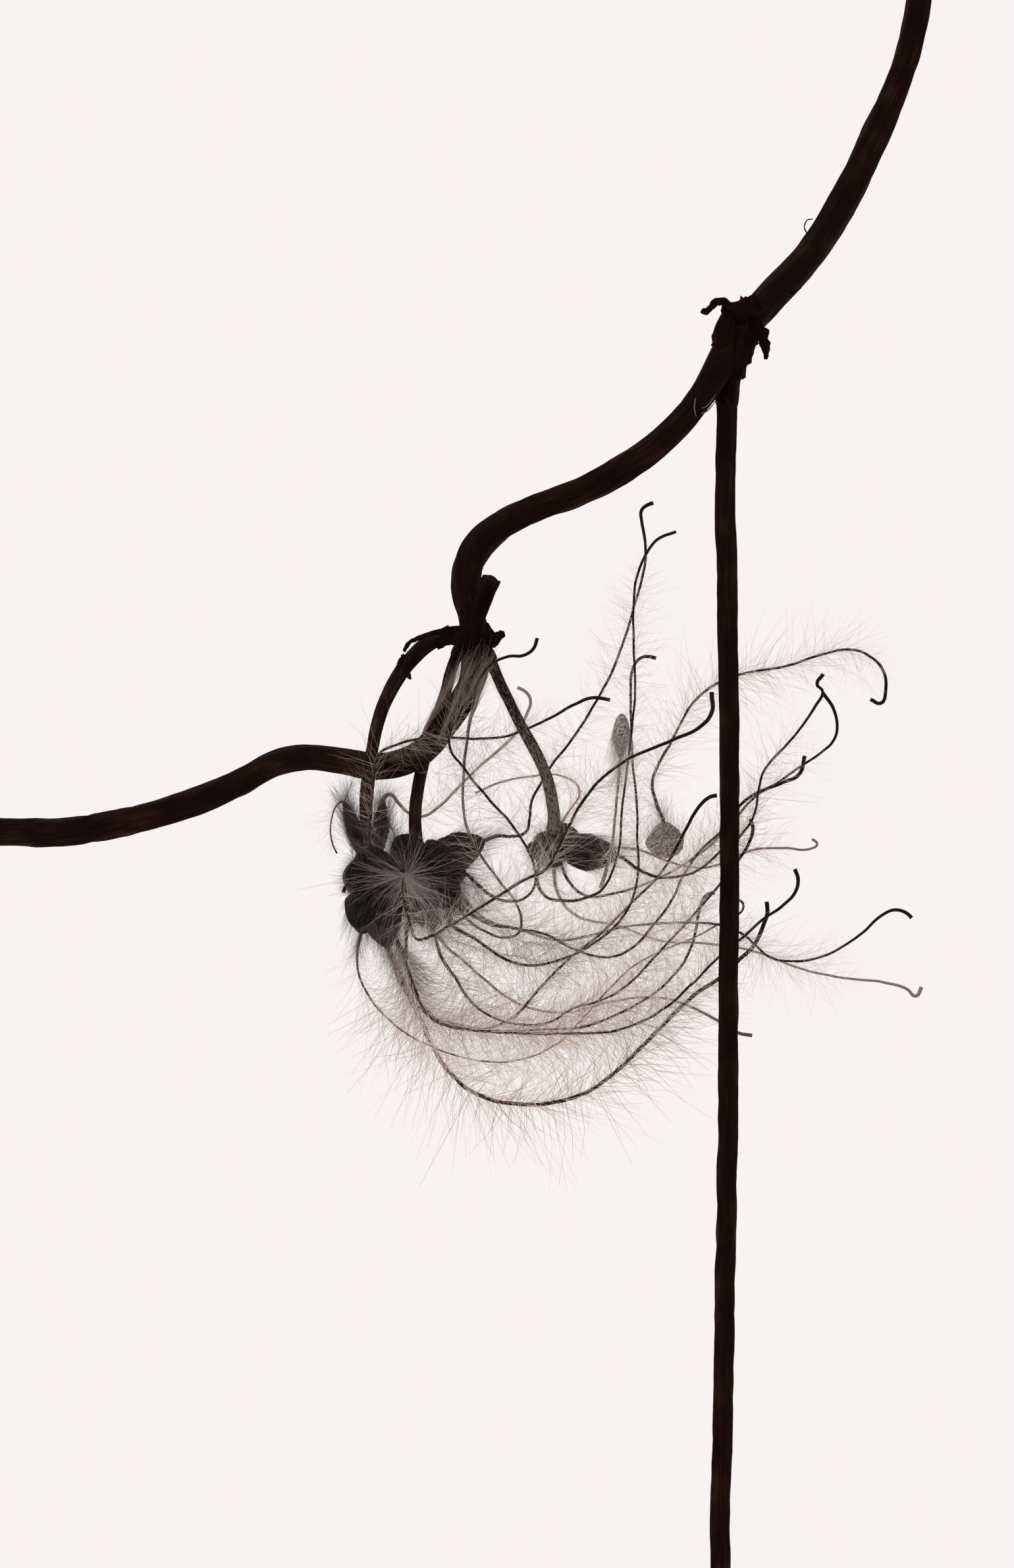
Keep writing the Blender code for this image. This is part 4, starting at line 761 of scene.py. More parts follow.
swept = add(stem_tree, "GeometryNodeCurveToMesh", {
    "Curve": rail, "Profile Curve": ring, "Fill Caps": True,
    "Scale": add(stem_tree, "GeometryNodeInputRadius").outputs[0],
}).outputs[0]
angle = add(stem_tree, "ShaderNodeMath", {0: around, 1: 2 * math.pi}, operation="MULTIPLY").outputs[0]
round_x = add(stem_tree, "ShaderNodeMath", {0: angle}, operation="COSINE").outputs[0]
round_y = add(stem_tree, "ShaderNodeMath", {0: angle}, operation="SINE").outputs[0]
unit_ring = add(stem_tree, "ShaderNodeCombineXYZ", {"X": round_x, "Y": round_y}).outputs[0]
ring_place = add(stem_tree, "ShaderNodeVectorMath", {
    0: unit_ring, "Scale": MM,
}, operation="SCALE").outputs[0]
along_place = add(stem_tree, "ShaderNodeCombineXYZ", {"Z": along}).outputs[0]
grain = add(stem_tree, "ShaderNodeVectorMath", {
    0: ring_place, 1: along_place,
}, operation="ADD").outputs[0]
fibre_space = add(stem_tree, "ShaderNodeVectorMath", {
    0: grain, 1: [per_mm / MM for per_mm in RELIEF_PER_MM],
}, operation="MULTIPLY").outputs[0]
fibre = add(stem_tree, "ShaderNodeTexNoise", {
    "Vector": fibre_space, "W": given["Seed"], "Scale": 1.0, "Detail": 3.0, "Roughness": 0.6,
}, noise_dimensions="4D").outputs["Fac"]
lump = add(stem_tree, "ShaderNodeTexNoise", {
    "Vector": grain, "W": given["Seed"], "Scale": LUMPS_PER_MM / MM, "Detail": 1.0,
}, noise_dimensions="4D").outputs["Fac"]
sway_place = add(stem_tree, "ShaderNodeMath", {
    0: along, 1: SWAYS_PER_MM / MM,
}, operation="MULTIPLY").outputs[0]
sway = add(stem_tree, "ShaderNodeTexNoise", {
    "W": sway_place, "Scale": 1.0,
}, noise_dimensions="1D").outputs["Fac"]
turned = add(stem_tree, "ShaderNodeMath", {
    0: sway, 1: SWAY_TURN, 2: angle,
}, operation="MULTIPLY_ADD").outputs[0]
rib_turn = add(stem_tree, "ShaderNodeMath", {0: turned, 1: given["Ribs"]}, operation="MULTIPLY").outputs[0]
rib_wave = add(stem_tree, "ShaderNodeMath", {0: rib_turn}, operation="COSINE").outputs[0]
rib = add(stem_tree, "ShaderNodeMath", {
    0: rib_wave, 1: given["Rib depth"],
}, operation="MULTIPLY").outputs[0]
fibre_out = add(stem_tree, "ShaderNodeMath", {0: fibre, 1: 0.5}, operation="SUBTRACT").outputs[0]
fibre_rib = add(stem_tree, "ShaderNodeMath", {
    0: fibre_out, 1: given["Fibre depth"], 2: rib,
}, operation="MULTIPLY_ADD").outputs[0]
lump_out = add(stem_tree, "ShaderNodeMath", {0: lump, 1: 0.5}, operation="SUBTRACT").outputs[0]
relief = add(stem_tree, "ShaderNodeMath", {
    0: lump_out, 1: given["Lump depth"], 2: fibre_rib,
}, operation="MULTIPLY_ADD").outputs[0]
outward = add(stem_tree, "ShaderNodeVectorMath", {
    0: add(stem_tree, "GeometryNodeInputNormal").outputs[0], "Scale": relief,
}, operation="SCALE").outputs[0]
rough = add(stem_tree, "GeometryNodeSetPosition", {"Geometry": swept, "Offset": outward}).outputs[0]
above_table = add(stem_tree, "ShaderNodeVectorMath", {
    0: add(stem_tree, "GeometryNodeInputPosition").outputs[0], 1: (-10.0, -10.0, 0.0),
}, operation="MAXIMUM").outputs[0]
marked = add(stem_tree, "GeometryNodeSetPosition", {
    "Geometry": rough, "Position": above_table,
}).outputs[0]
for title, value, kind in (
    ("grain", grain, "FLOAT_VECTOR"), ("towards", ahead, "FLOAT_VECTOR"), ("share", share, "FLOAT"),
):
    marked = add(stem_tree, "GeometryNodeStoreNamedAttribute", {
        "Geometry": marked, "Name": title, "Value": value,
    }, data_type=kind, domain="POINT").outputs[0]
skinned = add(stem_tree, "GeometryNodeSetMaterial", {
    "Geometry": marked, "Material": given["Skin"],
}).outputs[0]
add(stem_tree, "NodeGroupOutput", {"Geometry": add(stem_tree, "GeometryNodeSetShadeSmooth", {
    "Geometry": add(stem_tree, "GeometryNodeRealizeInstances", {"Geometry": skinned}).outputs[0],
}).outputs[0]})
print("tree:", stem_tree.name, len(stem_tree.nodes), "nodes")

# %% [markdown]
# ## The vine and the shoot
# The vine is some 2 mm thick, so its fibres are about a tenth of a millimetre deep. Each cut end
# is the one face with many corners, and it gets the cut wood. Loose strips of bark are flat tapering
# shapes with frayed edges, and a single fibre is the same shape made thin and round.

# %% Vine, side shoot and stalks
SOCKET_DEPTH = 0.9


def woody(
    name, rows, skin, seed, sides=36, ribs=6, rib_depth=0.05, fibre=0.16, lump=0.16, spacing=0.22,
    cut=False,
):
    """The mesh of one woody stem; depths are in millimetres."""
    mesh = grow(stem_curve(name, rows), stem_tree, {
        "Spacing": spacing * MM, "Sides": sides, "Ribs": ribs, "Rib depth": rib_depth * MM,
        "Fibre depth": fibre * MM, "Lump depth": lump * MM, "Seed": seed, "Skin": skin,
    })
    mesh.name = name
    if cut:
        mesh.materials.append(end_grain)
        for face in mesh.polygons:
            if len(face.vertices) > 4:
                face.material_index = len(mesh.materials) - 1
    return mesh


def rooted_back(rows):
    """A stem's rows with one more before them, well inside the socket that it grows from."""
    first = Vector(rows[0][:3])
    back = first - (Vector(rows[1][:3]) - first).normalized() * SOCKET_DEPTH
    return [(*back, rows[0][3])] + rows


def smooth_line(rows, steps):
    """Points and radii along a smooth line through the rows."""
    ends = [rows[0], *rows, rows[-1]]
    line = []
    for before, start, end, after in zip(ends, ends[1:], ends[2:], ends[3:]):
        for step in range(steps):
            t = step / steps
            line.append([
                0.5 * (2 * b + (c - a) * t + (2 * a - 5 * b + 4 * c - d) * t * t
                       + (3 * b - a - 3 * c + d) * t ** 3)
                for a, b, c, d in zip(before, start, end, after)
            ])
    return [*line, list(rows[-1])]


def torn_strip(name, rows, skin, seed, columns=14, thin=0.3):
    """A flat strip of bark with uneven edges and a ragged end."""
    shell = bmesh.new()
    layers = [shell.verts.layers.float_vector.new(title) for title in ("grain", "towards")]
    line = smooth_line(rows, 8)
    rings = []
    for index, (x, y, z, radius) in enumerate(line):
        share = index / (len(line) - 1)
        before = Vector(line[max(0, index - 1)][:3])
        after = Vector(line[min(len(line) - 1, index + 1)][:3])
        along = (after - before).normalized()
        side = along.cross(Vector((0, 0, 1))).normalized()
        up = side.cross(along)
        ring = []
        for column in range(columns):
            angle = 2 * math.pi * column / columns
            across = radius * math.cos(angle)
            frayed = noise.noise(Vector((math.cos(angle) * 3.0 + seed, share * 9, seed)))
            edge = 1.0 + 0.55 * frayed
            ragged = noise.noise(Vector((math.cos(angle) * 5, seed, 7.7)))
            tear = 2.2 * radius * max(0.0, share - 0.6) * ragged
            offset = side * across * edge + up * radius * thin * math.sin(angle) * edge + along * tear
            vert = shell.verts.new(place(x, y, z) + offset * MM)
            vert[layers[0]] = Vector((across, radius * math.sin(angle), share * 4)) * MM
            vert[layers[1]] = along
            ring.append(vert)
        rings.append(ring)
    for ring, following in zip(rings, rings[1:]):
        for column in range(columns):
            beside = (column + 1) % columns
            shell.faces.new((ring[column], ring[beside], following[beside], following[column]))
    shell.faces.new(rings[0][::-1])
    shell.faces.new(rings[-1])
    bmesh.ops.recalc_face_normals(shell, faces=shell.faces)
    mesh = bpy.data.meshes.new(name)
    shell.to_mesh(mesh)
    shell.free()
    mesh.materials.append(skin)
    mesh.shade_smooth()
    return mesh


def knot(name, centre, size, skin, seed):
    """A swollen joint: a ball with a torn, fibrous surface; size holds its three half-widths."""
    shell = bmesh.new()
    bmesh.ops.create_icosphere(shell, subdivisions=5, radius=1.0)
    grain_layer = shell.verts.layers.float_vector.new("grain")
    middle = place(*centre)
    for vert in shell.verts:
        across = Vector((vert.co.x * 3.2, vert.co.z * 3.2, vert.co.y * 0.9 + seed))
        torn = 1.0 + 0.16 * noise.fractal(across, 1.0, 2.0, 5) + 0.1 * noise.noise(vert.co * 1.7)
        vert[grain_layer] = Vector((vert.co.x, vert.co.z, vert.co.y)) * MM
        vert.co = middle + Vector([a * b for a, b in zip(vert.co, size)]) * torn * MM
    mesh = bpy.data.meshes.new(name)
    shell.to_mesh(mesh)
    shell.free()
    mesh.materials.append(skin)
    mesh.shade_smooth()
    return mesh


# How much thicker than its solid's radius the bark is drawn. Below the upper node, where y is in
# NECK, and on the right stalk, the photograph shows a thinner stem.
BARK_SPARE = 1.05
NECK = (13.0, 21.0)
NECK_SPARE = 0.93
RIGHT_STALK_SPARE = 0.92
vine_rows = [
    (x, y, z, radius * (NECK_SPARE if NECK[0] < y < NECK[1] else BARK_SPARE)) for x, y, z, radius in VINE
]
vine_meshes = [woody("vine_stem", vine_rows, bark, seed=1.0, lump=0.09, cut=True)]
vine_meshes.append(knot("upper_knot", UPPER_NODE, (1.6, 2.0, 1.5), knot_bark, 3.0))
vine_meshes.append(knot("lower_knot", LOWER_NODE, (1.4, 1.6, 1.3), knot_bark, 8.0))
for number, (title, rows) in enumerate(NODE_PIECES.items()):
    vine_meshes.append(woody(
        title, rows, knot_bark, seed=20.0 + number, sides=20, ribs=4, fibre=0.3, lump=0.3, spacing=0.12,
    ))
for number, (title, rows) in enumerate(VINE_STRIPS.items()):
    vine_meshes.append(torn_strip(title, rows, knot_bark, 40.0 + number))
for number, (title, rows) in enumerate(PALE_FIBRES.items()):
    vine_meshes.append(torn_strip(title, rows, loose_fibre, 80.0 + number, columns=6, thin=1.0))
for number, (title, rows) in enumerate(DARK_FIBRES.items()):
    vine_meshes.append(torn_strip(title, rows, knot_bark, 90.0 + number, columns=6, thin=1.0))
vine = joined("vine_bark", vine_meshes)
shoot = joined("side_shoot_bark", [
    woody("side_shoot", rooted_back(SIDE_SHOOT), bark, seed=2.0, sides=30, ribs=5, lump=0.09, cut=True),
])
right_stalk_rows = [(x, y, z, radius * RIGHT_STALK_SPARE) for x, y, z, radius in STALK_RIGHT]
stalk_meshes = {
    title: woody(
        title, rooted_back(rows), felted_skin if title == "right" else stalk_skin, seed=number,
        sides=24, ribs=5, rib_depth=0.025, fibre=0.12, lump=0.1,
    )
    for number, (title, rows) in enumerate((
        ("left", STALK_LEFT), ("middle", STALK_MIDDLE), ("right", right_stalk_rows),
    ), 4)
}
flakes = [
    torn_strip(title, rows, knot_bark, 60.0 + number)
    for number, (title, rows) in enumerate(LEFT_STALK_STRIPS.items())
]
stalks = {
    title: joined(f"flower_stalk_{title}_skin", [mesh.copy(), *(flakes if title == "left" else [])])
    for title, mesh in stalk_meshes.items()
}
for piece in (vine, shoot, *stalks.values()):
    print(piece.name, triangles(piece), "triangles")

# A copy of all the wood, which the hair trees below use to keep hairs out of it.
all_stems = joined("all stems", [piece.data.copy() for piece in (vine, shoot, *stalks.values())])

# %% [markdown]
# ## Planting hairs
# Hairs on the tails and hairs on the seeds differ only in where they stand and which way they
# point. What they share is here: one hair is a three-sided tapered spike a unit long, which is
# copied onto every point, turned and scaled. The copies are then made real, and each is bent by a
# vector of its own, more towards its tip, so that no two hairs curve alike. Hairs that would reach
# through the table are eased up to lie on it.
#
# The stems have a say too. A hair that would grow through a stem stops at it: a ray along the hair
# finds the bark. One that would lie across a stem's upper side is cut back, because the photograph
# shows the stems bare there: rays straight down, from points along the hair, find the bark below.
# Close to a stem less light comes through, so hairs are darker.

# %% Nodes shared by both hair trees
# A real hair is about half as thick; this is as thin as still shows in the picture. The radius is
# that of a hair of typical length, and its tip is thinner.
HAIR_RADIUS = 0.017 * MM
TYPICAL_HAIR = 4 * MM
HAIR_TIP = 0.3
TABLE_EASE = 0.25 * MM

# Where a hair stops before the bark, how dark it is at the bark, and how far off that shade ends.
STOP_SHARE = 0.85
SHADE_AT_BARK = 0.15
SHADED_WITHIN = 3.5 * MM

# How far below a hair a stem is looked for.
FALL_BELOW = 20.0 * MM

# The share of a hair at which a point is tried, and the share that is left if it is over a stem.
CROSSING_TESTS = ((1.0, 0.7), (0.8, 0.5), (0.6, 0.3), (0.4, 0.15), (0.2, 0.05))


def kept_off(tree, stems, over, direction, bend, length, tone):
    """A hair's length and tone, given the stems' object: shorter before bark and darker near it.

    Points along the hair are tried, and one above a stem shows that the hair crosses it. Such a
    hair is cut back to before that point, or keeps the share "over" of its length if that is more.
    """
    bark_there = add(tree, "GeometryNodeObjectInfo", {"Object": stems}).outputs["Geometry"]
    chord = add(tree, "ShaderNodeVectorMath", {0: direction, 1: bend}, operation="ADD").outputs[0]
    stretch = add(tree, "ShaderNodeVectorMath", {0: chord}, operation="LENGTH").outputs["Value"]
    reach = add(tree, "ShaderNodeMath", {0: length, 1: stretch}, operation="MULTIPLY").outputs[0]
    ray = add(tree, "GeometryNodeRaycast", {
        "Target Geometry": bark_there, "Ray Direction": chord, "Ray Length": reach,
    })
    share = add(tree, "ShaderNodeMath", {
        0: ray.outputs["Hit Distance"], 1: stretch,
    }, operation="DIVIDE").outputs[0]
    to_bark = add(tree, "ShaderNodeMath", {0: share, 1: STOP_SHARE}, operation="MULTIPLY").outputs[0]
    free = add(tree, "GeometryNodeSwitch", {
        "Switch": ray.outputs["Is Hit"], "False": length, "True": to_bark,
    }, input_type="FLOAT").outputs[0]
    root = add(tree, "GeometryNodeInputPosition").outputs[0]
    kept = 1.0
    for tried, cut_to in CROSSING_TESTS:
        swung = add(tree, "ShaderNodeVectorMath", {0: bend, "Scale": tried}, operation="SCALE").outputs[0]
        way = add(tree, "ShaderNodeVectorMath", {0: direction, 1: swung}, operation="ADD").outputs[0]
        reached = add(tree, "ShaderNodeMath", {0: free, 1: tried}, operation="MULTIPLY").outputs[0]
        gone = add(tree, "ShaderNodeVectorMath", {0: way, "Scale": reached}, operation="SCALE").outputs[0]
        point = add(tree, "ShaderNodeVectorMath", {0: root, 1: gone}, operation="ADD").outputs[0]
        below = add(tree, "GeometryNodeRaycast", {
            "Target Geometry": bark_there, "Source Position": point, "Ray Length": FALL_BELOW,
            "Ray Direction": (0.0, 0.0, -1.0),
        })
        kept = add(tree, "GeometryNodeSwitch", {
            "Switch": below.outputs["Is Hit"], "False": kept,
            "True": add(tree, "ShaderNodeMath", {0: over, 1: cut_to}, operation="MAXIMUM").outputs[0],
        }, input_type="FLOAT").outputs[0]
    free = add(tree, "ShaderNodeMath", {0: free, 1: kept}, operation="MULTIPLY").outputs[0]
    near = add(tree, "GeometryNodeProximity", {0: bark_there}, target_element="FACES")
    light = add(tree, "ShaderNodeMapRange", {
        "Value": near.outputs["Distance"], "From Max": SHADED_WITHIN, "To Min": SHADE_AT_BARK, "To Max": 1.0,
    }).outputs[0]
    return free, add(tree, "ShaderNodeMath", {0: tone, 1: light}, operation="MULTIPLY").outputs[0]


def planted(tree, points, direction, length, bend, tone, skin, chosen=True):
    """Plants a bent hair at each point; returns the geometry of all of them."""
    points, bend_kept = captured(tree, points, "VECTOR", bend)
    points, tone_kept = captured(tree, points, "FLOAT", tone)
    points, length_kept = captured(tree, points, "FLOAT", length)
    spine = add(tree, "GeometryNodeResampleCurve", {
        "Curve": add(tree, "GeometryNodeCurvePrimitiveLine", {"End": (0.0, 0.0, 1.0)}).outputs[0],
        "Count": 3,
    }).outputs[0]
    spine, up_hair = captured(
        tree, spine, "FLOAT", add(tree, "GeometryNodeSplineParameter").outputs["Factor"],
    )
    thick = HAIR_RADIUS / TYPICAL_HAIR
    taper = add(tree, "ShaderNodeMapRange", {
        "Value": up_hair, "To Min": thick, "To Max": HAIR_TIP * thick,
    }).outputs[0]
    spike = add(tree, "GeometryNodeCurveToMesh", {
        "Curve": spine, "Scale": taper, "Fill Caps": True,
        "Profile Curve": add(tree, "GeometryNodeCurvePrimitiveCircle", {
            "Resolution": 3, "Radius": 1.0,
        }).outputs["Curve"],
    }).outputs[0]
    copies = add(tree, "GeometryNodeInstanceOnPoints", {
        "Points": points, "Selection": chosen, "Instance": spike, "Scale": length,
        "Rotation": add(tree, "FunctionNodeAlignRotationToVector", {
            "Vector": direction,
        }, axis="Z").outputs[0],
    }).outputs[0]
    real = add(tree, "GeometryNodeRealizeInstances", {"Geometry": copies}).outputs[0]
    squared = add(tree, "ShaderNodeMath", {0: up_hair, 1: 2.0}, operation="POWER").outputs[0]
    reach = add(tree, "ShaderNodeMath", {0: squared, 1: length_kept}, operation="MULTIPLY").outputs[0]
    pull = add(tree, "ShaderNodeVectorMath", {0: bend_kept, "Scale": reach}, operation="SCALE").outputs[0]
    bent = add(tree, "GeometryNodeSetPosition", {"Geometry": real, "Offset": pull}).outputs[0]
    here = add(tree, "ShaderNodeSeparateXYZ", {
        0: add(tree, "GeometryNodeInputPosition").outputs[0],
    }).outputs
    height_squared = add(tree, "ShaderNodeMath", {
        0: here["Z"], 1: here["Z"], 2: TABLE_EASE ** 2,
    }, operation="MULTIPLY_ADD").outputs[0]
    root = add(tree, "ShaderNodeMath", {0: height_squared}, operation="SQRT").outputs[0]
    eased = add(tree, "ShaderNodeMath", {0: here["Z"], 1: root}, operation="ADD").outputs[0]
    height = add(tree, "ShaderNodeMath", {0: eased, 1: 0.5}, operation="MULTIPLY").outputs[0]
    settled = add(tree, "ShaderNodeCombineXYZ", {"X": here["X"], "Y": here["Y"], "Z": height}).outputs[0]
    laid = add(tree, "GeometryNodeSetPosition", {"Geometry": bent, "Position": settled}).outputs[0]
    toned = add(tree, "GeometryNodeStoreNamedAttribute", {
        "Geometry": laid, "Name": "tone", "Value": tone_kept,
    }, data_type="FLOAT", domain="POINT").outputs[0]
    return add(tree, "GeometryNodeSetMaterial", {"Geometry": toned, "Material": skin}).outputs[0]


def any_number(tree, low, high, seed):
    """A random number for each point; seed is a socket or a whole number."""
    return add(tree, "FunctionNodeRandomValue", {2: low, 3: high, 8: seed}, data_type="FLOAT").outputs[1]


def any_vector(tree, seed):
    """A random vector for each point, with each part from -1 to 1."""
    return add(tree, "FunctionNodeRandomValue", {
        0: (-1.0, -1.0, -1.0), 1: (1.0, 1.0, 1.0), 8: seed,
    }, data_type="FLOAT_VECTOR").outputs[0]


# %% [markdown]
# ## Feathering along a tail
# Hairs stand all round the tail, leaning towards its tip. They are short near the seed, longest
# along the middle, and stop before the curled end. "Lean" is the angle between hair and tail: a
# fresh plume stands out at 60 degrees, and hairs brushed together lie at less than 10. "Darkest" and
# "Palest" are the two ends of the tones that hairs are given, from 0 for dark to 1 for pale.

# %% Tree: feathered tail
# Hairs reach their full length over the first of these shares of the tail, from the first of these
# lengths, and grow shorter over the second, to the second length.
GROW_SHARE, SHRINK_SHARE = 0.12, 0.14
FIRST_LENGTH, LAST_LENGTH = 0.35, 0.2
feather_tree, given = geometry_tree("feathered tail", {
    "Hair length": "Float", "Hairs per mm": "Float", "From": "Float", "To": "Float",
    "Lean": "Float", "Curl": "Float", "Sweep": "Float", "Darkest": "Float", "Palest": "Float",
    "Seed": "Int", "Skin": "Material", "Stems": "Object", "Over stems": "Float",
})
share_here = add(feather_tree, "GeometryNodeSplineParameter").outputs["Factor"]
tail_line, share = captured(feather_tree, given["Geometry"], "FLOAT", share_here)
spacing = add(feather_tree, "ShaderNodeMath", {
    0: MM, 1: given["Hairs per mm"],
}, operation="DIVIDE").outputs[0]
rooted = add(feather_tree, "GeometryNodeCurveToPoints", {
    "Curve": tail_line, "Length": spacing,
}, mode="LENGTH")
tangent = rooted.outputs["Tangent"]
across = add(feather_tree, "ShaderNodeVectorMath", {
    0: tangent, 1: rooted.outputs["Normal"],
}, operation="CROSS_PRODUCT").outputs[0]
turn = any_number(feather_tree, 0.0, 2 * math.pi, given["Seed"])
turn_x = add(feather_tree, "ShaderNodeMath", {0: turn}, operation="COSINE").outputs[0]
turn_y = add(feather_tree, "ShaderNodeMath", {0: turn}, operation="SINE").outputs[0]
side_one = add(feather_tree, "ShaderNodeVectorMath", {
    0: rooted.outputs["Normal"], "Scale": turn_x,
}, operation="SCALE").outputs[0]
side_two = add(feather_tree, "ShaderNodeVectorMath", {
    0: across, "Scale": turn_y,
}, operation="SCALE").outputs[0]
sideways = add(feather_tree, "ShaderNodeVectorMath", {0: side_one, 1: side_two}, operation="ADD").outputs[0]
lean = add(feather_tree, "ShaderNodeMath", {
    0: given["Lean"], 1: any_number(feather_tree, 0.5, 1.4, 11),
}, operation="MULTIPLY").outputs[0]
out_part = add(feather_tree, "ShaderNodeVectorMath", {
    0: sideways, "Scale": add(feather_tree, "ShaderNodeMath", {0: lean}, operation="SINE").outputs[0],
}, operation="SCALE").outputs[0]
on_part = add(feather_tree, "ShaderNodeVectorMath", {
    0: tangent, "Scale": add(feather_tree, "ShaderNodeMath", {0: lean}, operation="COSINE").outputs[0],
}, operation="SCALE").outputs[0]
direction = add(feather_tree, "ShaderNodeVectorMath", {0: out_part, 1: on_part}, operation="ADD").outputs[0]
rise_end = add(feather_tree, "ShaderNodeMath", {
    0: given["From"], 1: GROW_SHARE,
}, operation="ADD").outputs[0]
rise = add(feather_tree, "ShaderNodeMapRange", {
    "Value": share, "From Min": given["From"], "From Max": rise_end, "To Min": FIRST_LENGTH, "To Max": 1.0,
}).outputs[0]
fall_start = add(feather_tree, "ShaderNodeMath", {
    0: given["To"], 1: SHRINK_SHARE,
}, operation="SUBTRACT").outputs[0]
fall = add(feather_tree, "ShaderNodeMapRange", {
    "Value": share, "From Min": fall_start, "From Max": given["To"], "To Min": 1.0, "To Max": LAST_LENGTH,
}).outputs[0]
profile = add(feather_tree, "ShaderNodeMath", {0: rise, 1: fall}, operation="MULTIPLY").outputs[0]
uneven = add(feather_tree, "ShaderNodeMath", {
    0: profile, 1: any_number(feather_tree, 0.5, 1.15, 12),
}, operation="MULTIPLY").outputs[0]
length = add(feather_tree, "ShaderNodeMath", {
    0: uneven, 1: given["Hair length"],
}, operation="MULTIPLY").outputs[0]
curled = add(feather_tree, "ShaderNodeVectorMath", {
    0: any_vector(feather_tree, 13), "Scale": given["Curl"],
}, operation="SCALE").outputs[0]
swept_on = add(feather_tree, "ShaderNodeVectorMath", {
    0: tangent, "Scale": given["Sweep"],
}, operation="SCALE").outputs[0]
bend = add(feather_tree, "ShaderNodeVectorMath", {0: curled, 1: swept_on}, operation="ADD").outputs[0]
after_from = add(feather_tree, "ShaderNodeMath", {
    0: share, 1: given["From"],
}, operation="GREATER_THAN").outputs[0]
before_to = add(feather_tree, "ShaderNodeMath", {
    0: share, 1: given["To"],
}, operation="LESS_THAN").outputs[0]
chosen = add(feather_tree, "ShaderNodeMath", {0: after_from, 1: before_to}, operation="MULTIPLY").outputs[0]
tone = any_number(feather_tree, given["Darkest"], given["Palest"], 14)
length, tone = kept_off(
    feather_tree, given["Stems"], given["Over stems"], direction, bend, length, tone,
)
feathers = planted(
    feather_tree, rooted.outputs["Points"], direction, length, bend, tone, given["Skin"], chosen,
)
add(feather_tree, "NodeGroupOutput", {"Geometry": feathers})
print("tree:", feather_tree.name, len(feather_tree.nodes), "nodes")

# %% [markdown]
# ## The tail itself
# A tail is a thread a fifth of a millimetre thick, thicker where it leaves its seed and again in
# the bare curl at its end. A slow noise gives it the small kinks of something that grew.

# %% Tree: tail thread
TAIL_STEP = 0.22 * MM
KINKS_PER_MM = 0.7
tail_tree, given = geometry_tree("tail thread", {
    "Wobble": "Float", "Fade": "Float", "Seed": "Float", "Skin": "Material",
})
line = add(tail_tree, "GeometryNodeResampleCurve", {
    "Curve": given["Geometry"], "Length": TAIL_STEP,
}, mode="LENGTH").outputs[0]
wander = add(tail_tree, "ShaderNodeTexNoise", {
    "Vector": add(tail_tree, "GeometryNodeInputPosition").outputs[0], "W": given["Seed"],
    "Scale": KINKS_PER_MM / MM, "Detail": 1.0,
}, noise_dimensions="4D").outputs["Color"]
centred = add(tail_tree, "ShaderNodeVectorMath", {
    0: wander, 1: (0.5, 0.5, 0.5),
}, operation="SUBTRACT").outputs[0]
shifted = add(tail_tree, "ShaderNodeVectorMath", {
    0: centred, "Scale": given["Wobble"],
}, operation="SCALE").outputs[0]
line = add(tail_tree, "GeometryNodeSetPosition", {"Geometry": line, "Offset": shifted}).outputs[0]
line, share = captured(
    tail_tree, line, "FLOAT", add(tail_tree, "GeometryNodeSplineParameter").outputs["Factor"],
)
tube = add(tail_tree, "GeometryNodeCurveToMesh", {
    "Curve": line, "Fill Caps": True, "Scale": add(tail_tree, "GeometryNodeInputRadius").outputs[0],
    "Profile Curve": add(tail_tree, "GeometryNodeCurvePrimitiveCircle", {
        "Resolution": 6, "Radius": 1.0,
    }).outputs["Curve"],
}).outputs[0]
# Besides its share, each point keeps how much painted light pales the tail.
for title, value in (("share", share), ("fade", given["Fade"])):
    tube = add(tail_tree, "GeometryNodeStoreNamedAttribute", {
        "Geometry": tube, "Name": title, "Value": value,
    }, data_type="FLOAT", domain="POINT").outputs[0]
tube = add(tail_tree, "GeometryNodeSetMaterial", {"Geometry": tube, "Material": given["Skin"]}).outputs[0]
add(tail_tree, "NodeGroupOutput", {"Geometry": add(tail_tree, "GeometryNodeSetShadeSmooth", {
    "Geometry": add(tail_tree, "GeometryNodeRealizeInstances", {"Geometry": tube}).outputs[0],
}).outputs[0]})
print("tree:", tail_tree.name, len(tail_tree.nodes), "nodes")

# %% [markdown]
# ## Silky hairs over the seeds
# On a seed the hairs stand on a surface, so points are scattered over its faces. Each hair points
# between straight out and along the seed towards its tip. The seed's mesh carries that second
# direction as the attribute "towards", because a mesh alone doesn't know which end is the tip. Seeds
# that have lost their tails have also lost hairs, and "worn" says how much shorter theirs are.

